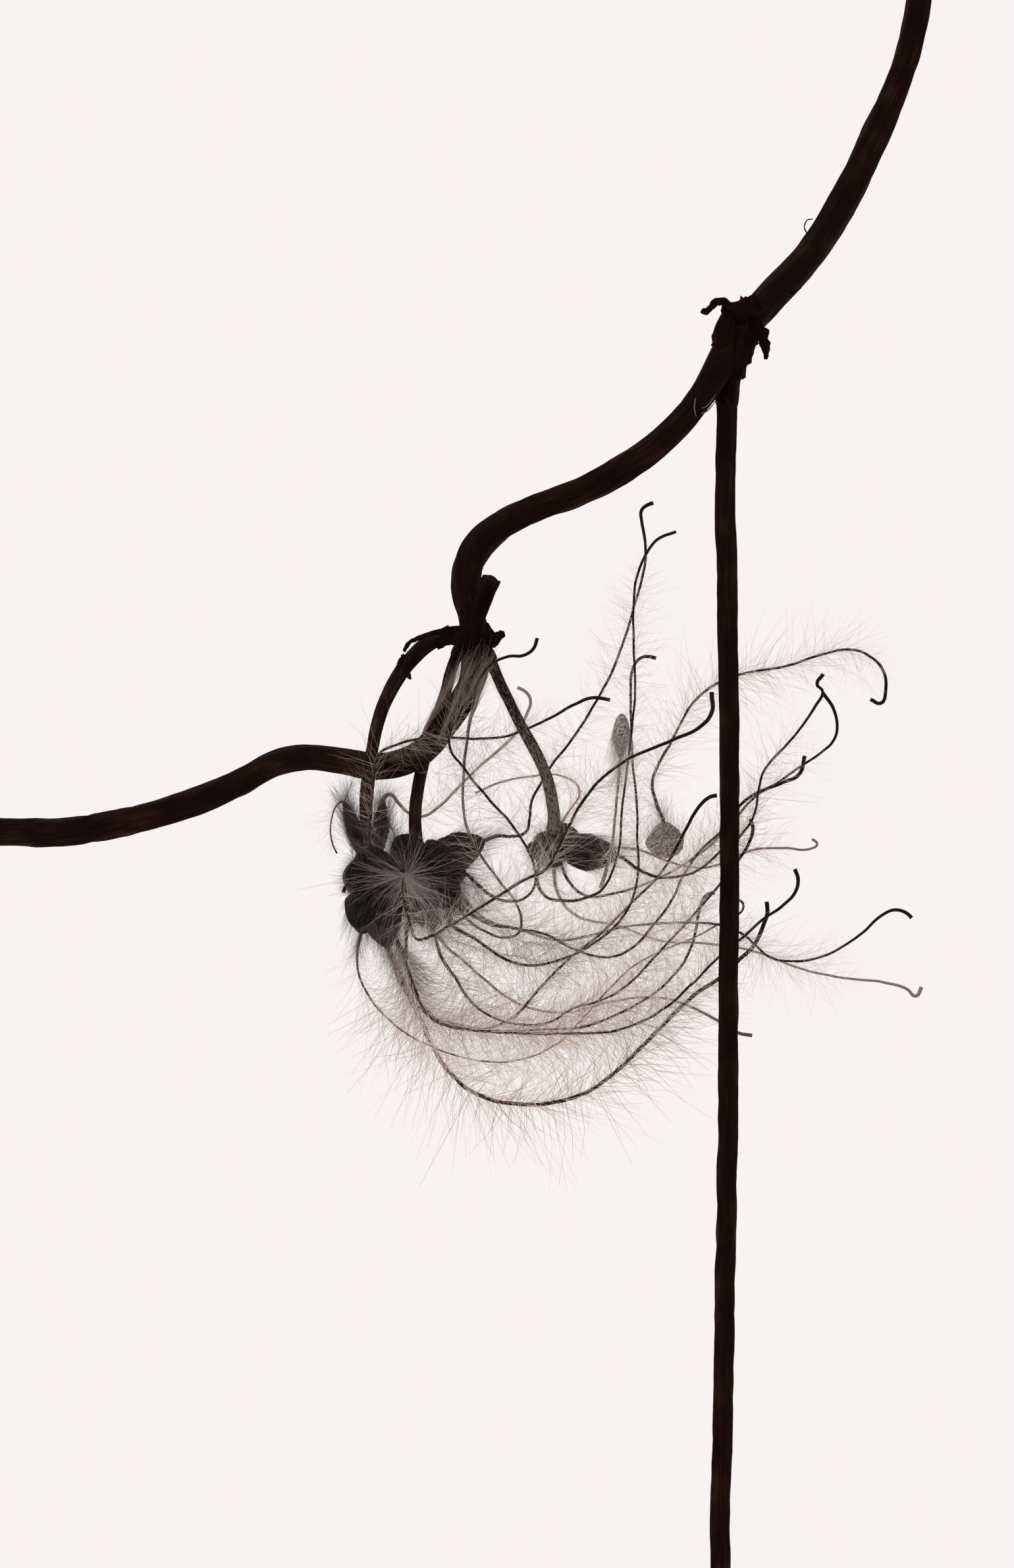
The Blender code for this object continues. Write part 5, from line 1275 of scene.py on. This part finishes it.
# %% Tree: silky seed hairs
# How far hairs turn aside at random, how far they bend along the seed, and how much paler painted
# light makes them.
RUFFLED = 0.8
DRAWN_ALONG = 0.25
PAINTED_LIGHT_TONE = 0.6
coat_tree, given = geometry_tree("silky seed hairs", {
    "Hairs per mm2": "Float", "Hair length": "Float", "Lay": "Float", "Curl": "Float",
    "Seed": "Int", "Skin": "Material",
})
towards = add(coat_tree, "GeometryNodeInputNamedAttribute", {
    "Name": "towards",
}, data_type="FLOAT_VECTOR").outputs[0]
surface, towards = captured(coat_tree, given["Geometry"], "VECTOR", towards)
density = add(coat_tree, "ShaderNodeMath", {
    0: given["Hairs per mm2"], 1: 1 / MM ** 2,
}, operation="MULTIPLY").outputs[0]
rooted = add(coat_tree, "GeometryNodeDistributePointsOnFaces", {
    "Mesh": surface, "Density": density, "Seed": given["Seed"],
})
laid_over = add(coat_tree, "ShaderNodeVectorMath", {
    0: towards, "Scale": given["Lay"],
}, operation="SCALE").outputs[0]
leaning = add(coat_tree, "ShaderNodeVectorMath", {
    0: rooted.outputs["Normal"], 1: laid_over,
}, operation="ADD").outputs[0]
ruffled = add(coat_tree, "ShaderNodeVectorMath", {
    0: any_vector(coat_tree, 21), "Scale": RUFFLED,
}, operation="SCALE").outputs[0]
direction = add(coat_tree, "ShaderNodeVectorMath", {
    0: add(coat_tree, "ShaderNodeVectorMath", {0: leaning, 1: ruffled}, operation="ADD").outputs[0],
}, operation="NORMALIZE").outputs[0]
worn = add(coat_tree, "GeometryNodeInputNamedAttribute", {"Name": "worn"}, data_type="FLOAT").outputs[0]
left = add(coat_tree, "ShaderNodeMath", {0: 1.0, 1: worn}, operation="SUBTRACT").outputs[0]
uneven = add(coat_tree, "ShaderNodeMath", {
    0: left, 1: any_number(coat_tree, 0.4, 1.2, 22),
}, operation="MULTIPLY").outputs[0]
length = add(coat_tree, "ShaderNodeMath", {
    0: uneven, 1: given["Hair length"],
}, operation="MULTIPLY").outputs[0]
curled = add(coat_tree, "ShaderNodeVectorMath", {
    0: any_vector(coat_tree, 23), "Scale": given["Curl"],
}, operation="SCALE").outputs[0]
drawn = add(coat_tree, "ShaderNodeVectorMath", {
    0: towards, "Scale": DRAWN_ALONG,
}, operation="SCALE").outputs[0]
bend = add(coat_tree, "ShaderNodeVectorMath", {0: curled, 1: drawn}, operation="ADD").outputs[0]
fade = add(coat_tree, "GeometryNodeInputNamedAttribute", {"Name": "fade"}, data_type="FLOAT").outputs[0]
# Painted light and shade: hairs on a lit seed are paler, and on a shaded one darker.
tone = add(coat_tree, "ShaderNodeMath", {
    0: fade, 1: PAINTED_LIGHT_TONE, 2: any_number(coat_tree, 0.0, 0.75, 24),
}, operation="MULTIPLY_ADD").outputs[0]
coat = planted(coat_tree, rooted.outputs["Points"], direction, length, bend, tone, given["Skin"])
add(coat_tree, "NodeGroupOutput", {"Geometry": coat})
print("tree:", coat_tree.name, len(coat_tree.nodes), "nodes")

# %% [markdown]
# ## A seed
# Each seed is a flattened drop with a raised rim, drawn in to its tail. It could be sculpted, but
# there are nearly forty, so a ball is shaped by a formula between its base and its tip, on the same
# axes as its solid. Shallow furrows run along it. The ball is built face by face, because hairs are
# scattered over the faces in their order, which has to be the same each time.

# %% Shaping the seeds of a head
# The length of a seed without a tail, and every seed's width and thickness, in millimetres.
BARE_SEED_LENGTH = 3.9
SEED_WIDTH = 2.9
SEED_THICKNESS = 1.3
SEED_TAPER = 0.35

# Which share of the way from the receptacle's middle to its skin a seed starts at.
SEAT_SHARE = 0.7
SEED_SECTORS = 32
SEED_RINGS = 18


def seat(middle, core, lean):
    """Where a seed starts: most of the way from a receptacle's middle to its skin."""
    share = Vector([part / half for part, half in zip(lean, core)]).length
    return middle + lean * SEAT_SHARE / share * MM


def seeds_of(centre, core, styles, bare, caught):
    """Each seed of a head: its title, base and tip, and its tail's route where it has one."""
    middle = place(*centre)
    found = []
    for title, route in styles.items():
        tip = place(*route[0])
        found.append((title, seat(middle, core, (tip - middle).normalized()), tip, route))
    for index, direction in enumerate(bare):
        lean = Vector(direction).normalized()
        base = seat(middle, core, lean)
        found.append((f"bare_{index}", base, base + lean * BARE_SEED_LENGTH * MM, None))
    for title, (start, route) in caught.items():
        found.append((title, place(*start), place(*route[0]), route))
    return found


def add_ball(shell, sectors, rings):
    """Adds a ball of radius one to a shell; returns its vertices."""
    top = shell.verts.new((0, 0, 1))
    bottom = shell.verts.new((0, 0, -1))
    belts = []
    for ring in range(1, rings):
        down = math.pi * ring / rings
        turns = [2 * math.pi * sector / sectors for sector in range(sectors)]
        belts.append([
            shell.verts.new((
                math.sin(down) * math.cos(turn), math.sin(down) * math.sin(turn), math.cos(down),
            ))
            for turn in turns
        ])
    for sector in range(sectors):
        beside = (sector + 1) % sectors
        shell.faces.new((top, belts[0][sector], belts[0][beside]))
        for upper, lower in zip(belts, belts[1:]):
            shell.faces.new((upper[sector], lower[sector], lower[beside], upper[beside]))
        shell.faces.new((belts[-1][sector], bottom, belts[-1][beside]))
    return [top, bottom, *(vert for belt in belts for vert in belt)]


def add_seed(shell, layers, title, base, tip):
    """Adds one seed to a shell, from its base to its tip."""
    along = (tip - base).normalized()
    across = along.cross(Vector((0, 0, 1)))
    if across.length < 0.3:
        across = along.cross(Vector((0, 1, 0)))
    across.normalize()
    thin = along.cross(across)
    if title in ON_EDGE:
        across, thin = thin, -across
    half = (tip - base).length / 2
    for vert in add_ball(shell, SEED_SECTORS, SEED_RINGS):
        x, y, reach = vert.co
        belt = 1.0 - SEED_TAPER * max(0.0, reach)
        rim = 1.0 + 0.1 * abs(x) ** 6
        furrow = 1.0 + 0.09 * noise.noise(Vector((x * 8, y * 4, reach * 1.1)) + tip / MM)
        own_place = (x * SEED_WIDTH / 2, y * SEED_THICKNESS / 2, reach * half / MM)
        vert[layers["grain"]] = Vector(own_place) * MM
        vert[layers["towards"]] = along * (0.3 if title == FACING else 1.0)
        # How much light is painted on this seed; below 0, shade is painted on its hairs.
        vert[layers["fade"]] = PAINTED_LIGHT_ON_SEEDS.get(title, 0.0)
        vert[layers["worn"]] = 0.4 + 0.35 * reach if title.startswith("bare") else 0.0
        vert.co = (
            base + along * half * (1.0 + reach)
            + across * x * belt * furrow * SEED_WIDTH / 2 * MM
            + thin * y * belt * rim * furrow * SEED_THICKNESS / 2 * MM
        )


def seed_cluster(name, centre, core, seeds):
    """The receptacle and all seeds of a head, as one mesh."""
    shell = bmesh.new()
    for title in ("grain", "towards"):
        shell.verts.layers.float_vector.new(title)
    for title in ("fade", "worn"):
        shell.verts.layers.float.new(title)
    layers = {title: shell.verts.layers.float_vector[title] for title in ("grain", "towards")}
    layers |= {title: shell.verts.layers.float[title] for title in ("fade", "worn")}
    middle = place(*centre)
    receptacle = bmesh.ops.create_icosphere(shell, subdivisions=4, radius=1.0)
    for vert in receptacle["verts"]:
        bumpy = 1.0 + 0.12 * noise.noise(vert.co * 3)
        vert[layers["grain"]] = vert.co * MM
        vert[layers["towards"]] = Vector((0, 0, 0))
        vert.co = middle + Vector([part * half for part, half in zip(vert.co, core)]) * bumpy * MM
    for title, base, tip, _ in seeds:
        add_seed(shell, layers, title, base, tip)
    mesh = bpy.data.meshes.new(name)
    shell.to_mesh(mesh)
    shell.free()
    mesh.materials.append(seed_skin)
    mesh.shade_smooth()
    return mesh


# %% [markdown]
# ## Dressing each head
# Every tail gets its thread and its feathering. The settings below are what the photograph shows:
# most tails are evenly feathered, the three that press against the vine are brushed together there
# into a dense tuft, and the short ones carry short hairs.
#
# In a tail's settings "hair" is the length of its hairs in millimetres, "per_mm" how many stand on
# a millimetre, "first" and "last" the shares of the tail between which they stand, and "lean" their
# angle in degrees. "Curl" bends them at random, and "dark" and "pale" bound their tones. "Over" is
# the share of its length that a hair keeps over a stem. "Thread" is the thread's radius in
# millimetres, "root" and "swell" how that grows near the seed and towards the bare end, and
# "fade" how pale it is painted, as if seen through a haze of hairs.

# %% Tail settings
USUAL = {
    "hair": 4.2, "per_mm": 24.0, "first": 0.03, "last": 0.86, "lean": 62, "curl": 0.35,
    "dark": 0.05, "pale": 0.85, "thread": 0.1, "fade": 0.0, "root": 0.5, "swell": 2.5, "over": 0.0,
}
TAIL_SETTINGS = {
    "front": {"thread": 0.12, "hair": 3.6, "root": -0.45, "swell": 2.0, "last": 0.8},
    "inner_sweep": {"per_mm": 30.0},
    "middle_sweep": {"per_mm": 26.0},
    "low_sweep": {"per_mm": 28.0},
    "plume_front": {"hair": 3.4, "per_mm": 16.0, "over": 1.0},
    "plume_back": {"hair": 3.4, "per_mm": 16.0, "fade": 0.2, "over": 1.0},
    "up_the_stalk": {"hair": 3.2, "per_mm": 18.0, "over": 1.0},
    "broken": {"hair": 1.0, "last": 0.95},
    "small_curl": {"hair": 2.0, "last": 0.95, "thread": 0.06, "fade": 0.2, "swell": 1.0},
    "bottom_loop": {
        "hair": 5.6, "per_mm": 30.0, "lean": 72, "dark": 0.15, "pale": 1.0, "thread": 0.16, "swell": 0.2,
    },
    "outer_loop": {"hair": 4.8, "dark": 0.4, "pale": 1.0, "thread": 0.07, "fade": 0.15},
    "tall_front": {
        "hair": 2.9, "last": 0.92, "lean": 74, "per_mm": 20.0, "dark": 0.2, "pale": 1.0, "swell": 1.0,
    },
    "tall_behind_stalk": {
        "hair": 2.9, "last": 0.9, "lean": 74, "per_mm": 16.0, "dark": 0.2, "pale": 1.0,
    },
    "tall_curve": {"hair": 3.0, "lean": 70, "per_mm": 17.0},
    "behind_the_middle_stalk": {
        "fade": 0.95, "dark": 0.5, "pale": 1.0, "per_mm": 14.0, "thread": 0.12, "swell": 0.5,
    },
    "crossing_back": {
        "fade": 0.8, "dark": 0.5, "pale": 1.0, "per_mm": 14.0, "thread": 0.09, "swell": 0.5,
    },
    "far_right": {"hair": 3.6, "per_mm": 16.0, "fade": 0.75, "dark": 0.45, "pale": 1.0},
    "right_wave": {"hair": 3.5, "per_mm": 21.0, "dark": 0.25, "pale": 1.0},
    "right_loop": {"hair": 3.2, "per_mm": 17.0, "dark": 0.45, "pale": 1.0},
    "under_the_shoot": {"hair": 3.8, "per_mm": 22.0, "dark": 0.1, "pale": 0.95},
    "right_curl": {"hair": 3.4, "per_mm": 18.0, "dark": 0.2, "pale": 0.95},
    "straight_low": {"fade": 0.65, "thread": 0.09, "dark": 0.3, "pale": 1.0, "swell": 1.2},
    "lowest": {"fade": 0.35, "dark": 0.35, "pale": 1.0},
    "caught_low": {"hair": 3.8, "last": 0.9, "curl": 0.5, "dark": 0.4, "pale": 1.0, "per_mm": 28.0},
    "caught_high": {"hair": 2.4, "last": 1.0, "fade": 0.5, "dark": 0.3, "pale": 0.9},
}

# The tuft of hairs round the tip of a seed. Those of the seed that points up stand out like the rays
# of a star.
USUAL_TUFT = {
    "hair": 2.4, "per_mm": 45.0, "lean": 20, "curl": 0.25, "dark": 0.1, "pale": 0.9, "over": 1.0,
}
TUFTS = {
    FACING: {"hair": 5.0, "per_mm": 110.0, "lean": 74, "curl": 0.6, "dark": 0.2, "pale": 1.0},
    "broken": {"hair": 0.9, "per_mm": 20.0},
    "small_curl": {"hair": 1.6, "dark": 0.0, "pale": 0.6},
    "behind_the_middle_stalk": {"hair": 1.6, "dark": 0.0, "pale": 0.6},
    "right_curl": {"hair": 1.3, "per_mm": 12.0, "pale": 0.7},
    "straight_low": {"hair": 1.3, "per_mm": 12.0, "pale": 0.7},
    "right_loop": {"hair": 1.4, "per_mm": 25.0, "pale": 0.7},
    "tall_front": {"hair": 1.4, "per_mm": 25.0, "pale": 0.7},
    "far_right": {"hair": 1.4, "per_mm": 25.0, "pale": 0.7},
    "crossing_back": {"hair": 1.4, "per_mm": 25.0, "pale": 0.7},
    "caught_low": {"hair": 1.9, "per_mm": 60.0, "lean": 40, "dark": 0.3, "pale": 1.0},
    "caught_high": {"dark": 0.5, "pale": 1.0},
}
# Hairs that aren't on a tail stand on short lines of their own. Some are brushed together where
# tails press against the vine, fur fills the hollows between the seeds, a browner fur lies round
# them, and rays surround the seed that points up. Tones above 1 are as pale as 1, so a range that
# goes beyond it has more pale hairs.
BRUSHED = {
    "hair": 3.4, "per_mm": 30.0, "lean": 8, "curl": 0.12, "dark": 0.3, "pale": 1.55, "over": 1.0,
    "skin": stalk_hair,
}
FUR = {"hair": 2.4, "per_mm": 60.0, "lean": 38, "curl": 0.3, "dark": 0.0, "pale": 0.7, "over": 1.0}
WARM_FUR = FUR | {"lean": 65, "curl": 0.45, "dark": 0.15, "pale": 0.8, "skin": stalk_hair}
RAYS = FUR | {"hair": 4.4, "per_mm": 110.0, "lean": 26, "curl": 0.4, "dark": 0.5, "pale": 1.2}
FUR_LEFT = {
    "fur_outer_hollow": (FUR, [(-9.2, -17.0, 8.4), (-9.2, -15.0, 8.2), (-9.4, -13.0, 8.0)]),
    "fur_inner_hollow": (FUR, [(-7.2, -17.0, 8.2), (-7.1, -15.0, 8.0), (-7.1, -13.0, 7.8)]),
    "fur_top": (FUR | {"hair": 1.7}, [(-9.9, -13.3, 6.8), (-9.6, -12.2, 7.2), (-9.2, -11.4, 7.5)]),
    "fur_below": (
        WARM_FUR | {"hair": 3.2, "per_mm": 75.0, "lean": 45},
        [(-6.2, -23.2, 6.6), (-5.2, -25.4, 5.8), (-4.0, -27.2, 5.2)],
    ),
    # Under the seeds the fur gets only dark tones: painted shade.
    "fur_under_seeds": (
        WARM_FUR | {"hair": 2.8, "per_mm": 190.0, "dark": 0.0, "pale": 0.2},
        [(-5.6, -21.4, 8.2), (-4.2, -22.0, 8.4), (-2.4, -21.9, 8.2), (-0.8, -20.6, 8.2)],
    ),
    "fur_low_left": (
        WARM_FUR | {"hair": 2.8, "per_mm": 100.0, "lean": 60, "dark": 0.1, "pale": 0.7},
        [(-5.6, -23.8, 5.2), (-4.9, -25.0, 4.9), (-4.2, -26.2, 4.6)],
    ),
}
FUR_RIGHT = {
    "fur_on_the_right_seat": (
        WARM_FUR | {"hair": 1.4, "per_mm": 80.0, "lean": 50, "dark": 0.8, "pale": 2.0},
        [(5.0, -15.4, 12.5), (5.3, -16.6, 12.2), (5.7, -17.6, 11.6)],
    ),
}
FUR_MIDDLE = {
    "fur_under_stalk": (
        FUR | {"hair": 2.2, "per_mm": 110.0, "lean": 60},
        [(-5.6, -16.8, 9.4), (-6.0, -15.6, 9.4), (-6.3, -14.6, 9.2)],
    ),
    # Between the heads the fur is kept dark too: painted shade.
    "fur_between_heads": (
        FUR | {"hair": 1.3, "per_mm": 170.0, "lean": 70, "pale": 0.3},
        [(-6.4, -17.2, 8.6), (-6.4, -16.2, 8.6), (-6.3, -15.4, 8.6)],
    ),
    "rays_lower_right": (RAYS, [(-5.6, -18.2, 15.0), (-5.2, -18.6, 15.3), (-4.8, -19.0, 15.5)]),
    "rays_left": (RAYS | {"per_mm": 40.0, "lean": 34}, [(-5.1, -18.5, 15.0), (-5.9, -18.5, 15.3)]),
    "rays_upper_right": (
        RAYS | {"per_mm": 35.0, "lean": 34}, [(-5.4, -18.7, 15.0), (-4.8, -18.2, 15.3)],
    ),
    "fur_right_of_seeds": (
        WARM_FUR | {"hair": 2.6, "per_mm": 70.0},
        [(-0.4, -18.8, 8.8), (0.5, -20.0, 8.2), (0.7, -21.3, 7.6)],
    ),
    "fur_near_seeds": (
        WARM_FUR | {"hair": 3.6, "per_mm": 34.0, "lean": 72, "dark": 0.4, "pale": 1.1},
        [(-3.0, -22.8, 6.6), (-0.5, -23.8, 6.2), (3.0, -24.6, 6.0), (7.0, -25.2, 5.6)],
    ),
    "fur_in_the_mat": (
        WARM_FUR | {"hair": 3.6, "per_mm": 28.0, "lean": 60, "dark": 0.4, "pale": 1.1},
        [(1.0, -22.2, 7.4), (3.5, -23.4, 7.0), (7.5, -23.8, 6.6)],
    ),
    "brush_bend": (
        BRUSHED | {"hair": 2.0, "per_mm": 80.0, "lean": 45, "curl": 0.45, "dark": 0.4, "pale": 2.4},
        [(-6.8, -9.9, 12.3), (-5.2, -9.3, 13.1), (-3.7, -8.3, 14.0)],
    ),
    "brush_left": (BRUSHED, [(-4.3, -8.4, 15.0), (-3.0, -6.0, 15.9), (-1.6, -3.6, 16.3)]),
    "brush_low": (BRUSHED, [(-2.9, -8.6, 15.6), (-1.8, -6.2, 16.3), (-0.7, -3.6, 16.8)]),
    "brush_middle": (BRUSHED, [(-1.9, -8.4, 16.2), (-1.1, -6.3, 16.5), (0.1, -3.9, 17.0)]),
    "brush_right": (
        BRUSHED | {"pale": 2.0}, [(-0.6, -7.6, 15.8), (0.1, -5.4, 16.3), (0.7, -3.4, 16.8)],
    ),
}

# A tail starts, and a tuft too, at these shares of the way up their seed, and a tuft reaches on over
# this share of the tail's first stretch. Tufts and fur draw their random numbers from seeds that are
# this much higher.
TAIL_FROM = 0.7
TUFT_FROM = 0.6
TUFT_REACH = 0.8
TUFT_SEED, FUR_SEED = 50, 70
HAIR_SWEEP = 0.12
TAIL_WOBBLE = 0.14 * MM


def feathers_on(title, points, setting, first, last, number, skin):
    """The hairs that stand on a line through the points."""
    return grow(route_curve(title, points, [MM] * len(points)), feather_tree, {
        "Hair length": setting["hair"] * MM, "Hairs per mm": setting["per_mm"],
        "From": first, "To": last, "Lean": math.radians(setting["lean"]), "Curl": setting["curl"],
        "Sweep": HAIR_SWEEP, "Darkest": setting["dark"], "Palest": setting["pale"], "Seed": number,
        "Skin": skin, "Stems": all_stems, "Over stems": setting["over"],
    })


def tail_meshes(title, base, tip, route, number):
    """The thread and the feathering of one tail, and the tuft round its root."""
    setting = USUAL | TAIL_SETTINGS.get(title, {})
    points = [base.lerp(tip, TAIL_FROM)] + [place(*row) for row in route]
    last = len(points) - 1
    thick = setting["thread"] * MM
    radii = []
    for step in range(last + 1):
        share = step / last
        near_root = setting["root"] * max(0.0, 1.0 - 3.0 * share)
        radii.append(thick * (1.0 + near_root + setting["swell"] * max(0.0, share - 0.75)))
    thread_mesh = grow(route_curve(title, points, radii), tail_tree, {
        "Wobble": TAIL_WOBBLE, "Fade": setting["fade"], "Seed": float(number), "Skin": thread,
    })
    hair_mesh = feathers_on(title, points, setting, setting["first"], setting["last"], number, hair)
    tuft = USUAL_TUFT | TUFTS.get(title, {})
    beak = [base.lerp(tip, TUFT_FROM), tip]
    if title != FACING:
        beak.append(tip.lerp(points[2], TUFT_REACH))
    tuft_mesh = feathers_on(title, beak, tuft, 0.0, 1.0, number + TUFT_SEED, seed_hair)
    return thread_mesh, hair_mesh, tuft_mesh


def dress_head(side, centre, core, styles, bare, caught, fur, first_number):
    """Seeds, tails, tail hairs and seed hairs of one head, as four pieces."""
    node = "seed_head_" + side
    seeds = seeds_of(centre, core, styles, bare, caught)
    body = joined(node + "_seeds", [seed_cluster(node, centre, core, seeds)])
    made = [tail_meshes(*row, first_number + i) for i, row in enumerate(seeds) if row[3]]
    threads = joined(node + "_tails", [meshes[0] for meshes in made])
    feathering = joined(node + "_feathering", [meshes[1] for meshes in made])
    filling = [
        feathers_on(
            title, [place(*row) for row in rows], setting, 0.0, 1.0, first_number + FUR_SEED + i,
            setting.get("skin", seed_hair),
        )
        for i, (title, (setting, rows)) in enumerate(fur.items())
    ]
    copy = bpy.data.objects.new(node, body.data.copy())
    bpy.context.scene.collection.objects.link(copy)
    coat = grow(copy, coat_tree, {
        "Hairs per mm2": 26.0, "Hair length": 1.7 * MM, "Lay": 5.0, "Curl": 0.15,
        "Seed": first_number, "Skin": seed_hair,
    })
    down = joined(node + "_seed_down", [coat, *(meshes[2] for meshes in made), *filling])
    for piece in (body, threads, feathering, down):
        print(piece.name, triangles(piece), "triangles")
    return body, threads, feathering, down


heads = {
    "seed_head_left": dress_head(
        "left", HEAD_LEFT, CORE_LEFT, STYLES_LEFT, BARE_LEFT, {}, FUR_LEFT, 100,
    ),
    "seed_head_middle": dress_head(
        "middle", HEAD_MIDDLE, CORE_MIDDLE, STYLES_MIDDLE, BARE_MIDDLE, {}, FUR_MIDDLE, 200,
    ),
    "seed_head_right": dress_head(
        "right", HEAD_RIGHT, CORE_RIGHT, STYLES_RIGHT, BARE_RIGHT, CAUGHT, FUR_RIGHT, 300,
    ),
}

# %% [markdown]
# ## Short hairs on the flower stalks
# The stalks carry short hairs too, pressed along them. The right one is the hairiest. The copy of
# the wood is done with after that, and goes.

# %% Stalk hairs
STALK_HAIRS_PER_MM2 = {"left": 5.0, "middle": 8.0, "right": 45.0}
stalk_down = {}
for number, (title, mesh) in enumerate(stalk_meshes.items()):
    source = bpy.data.objects.new(title, mesh)
    bpy.context.scene.collection.objects.link(source)
    stalk_down[title] = joined(f"flower_stalk_{title}_down", [grow(source, coat_tree, {
        "Hairs per mm2": STALK_HAIRS_PER_MM2[title], "Hair length": 0.65 * MM, "Lay": 2.6,
        "Curl": 0.15, "Seed": 400 + number, "Skin": stalk_hair,
    })])
    print(stalk_down[title].name, triangles(stalk_down[title]), "triangles")
bpy.data.objects.remove(all_stems)

# %% [markdown]
# ## Joining everything to the frame
# Nothing moves here, so every piece rides on the one body, and the solid that a piece stands for is
# hidden.

# %% Ride and replace
for piece, node, slot in (
    (vine, "vine", "vine_bark"),
    (shoot, "side_shoot", "vine_bark"),
    (stalks["left"], "flower_stalk_left", "flower_stalk"),
    (stalks["middle"], "flower_stalk_middle", "flower_stalk"),
    (stalks["right"], "flower_stalk_right", "flower_stalk"),
):
    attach(piece, "root")
    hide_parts(node)
for piece in stalk_down.values():
    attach(piece, "root")
for node, pieces in heads.items():
    for piece in pieces:
        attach(piece, "root")
    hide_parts(node)

# %% [markdown]
# ## Table, light and camera
# The photograph is taken against a bright plain ground, so the table glows like a light table: the
# ground is nearly white, and the wood is almost black against it. The table's own colour is dark, so
# that the lamp and the shadows hardly show on it. It lies a little below the sprig, because two
# faces in one plane would show as patches. A large soft lamp from the upper left picks out fibres and hairs.
#
# The camera looks straight down from far off, so the view has hardly any perspective.

# %% Table
TABLE_HALF = 4.0
TABLE_DROP = 0.05 * MM
table_mesh = bpy.data.meshes.new("table")
shell = bmesh.new()
bmesh.ops.create_grid(shell, x_segments=1, y_segments=1, size=TABLE_HALF)
bmesh.ops.translate(shell, verts=shell.verts, vec=(0, 0, -TABLE_DROP))
shell.to_mesh(table_mesh)
shell.free()
table = bpy.data.objects.new("table", table_mesh)
bpy.context.scene.collection.objects.link(table)
table_finish, tree, shader = shader_tree("pale matt light table", roughness=0.9, specular=0.1)
shader.inputs["Base Color"].default_value = linear("2a2625")
shader.inputs["Emission Color"].default_value = linear("f7f2f1")
shader.inputs["Emission Strength"].default_value = 1.0
table_mesh.materials.append(table_finish)

# %% Soft light
world = bpy.data.worlds.new("soft studio")
world.use_nodes = True
world.node_tree.nodes["Background"].inputs["Color"].default_value = linear("f6f1ef")
world.node_tree.nodes["Background"].inputs["Strength"].default_value = 0.32
bpy.context.scene.world = world
lamp_data = bpy.data.lights.new("soft box", "AREA")
lamp_data.shape = "SQUARE"
lamp_data.size = 1.8
lamp_data.energy = 7.0
lamp = bpy.data.objects.new("soft box", lamp_data)
lamp.location = (-0.9, 0.8, 1.3)
lamp.rotation_euler = (-lamp.location).to_track_quat("-Z", "Y").to_euler()
bpy.context.scene.collection.objects.link(lamp)
bpy.context.scene.view_settings.view_transform = "Standard"

# %% Camera, straight down over the middle of the photograph
PHOTO_MIDDLE = place(2.5, -11.53, 9.0)
PHOTO_HEIGHT = 119.05 * MM
CAMERA_DISTANCE = 2.4
camera_data = bpy.data.cameras.new("camera")
camera_data.sensor_width = 36.0
camera_data.lens = camera_data.sensor_width * CAMERA_DISTANCE / PHOTO_HEIGHT
camera_data.clip_start = 0.1
camera_data.clip_end = 20.0
camera = bpy.data.objects.new("camera", camera_data)
camera.location = PHOTO_MIDDLE + Vector((0, 0, CAMERA_DISTANCE))
bpy.context.scene.collection.objects.link(camera)
bpy.context.scene.camera = camera
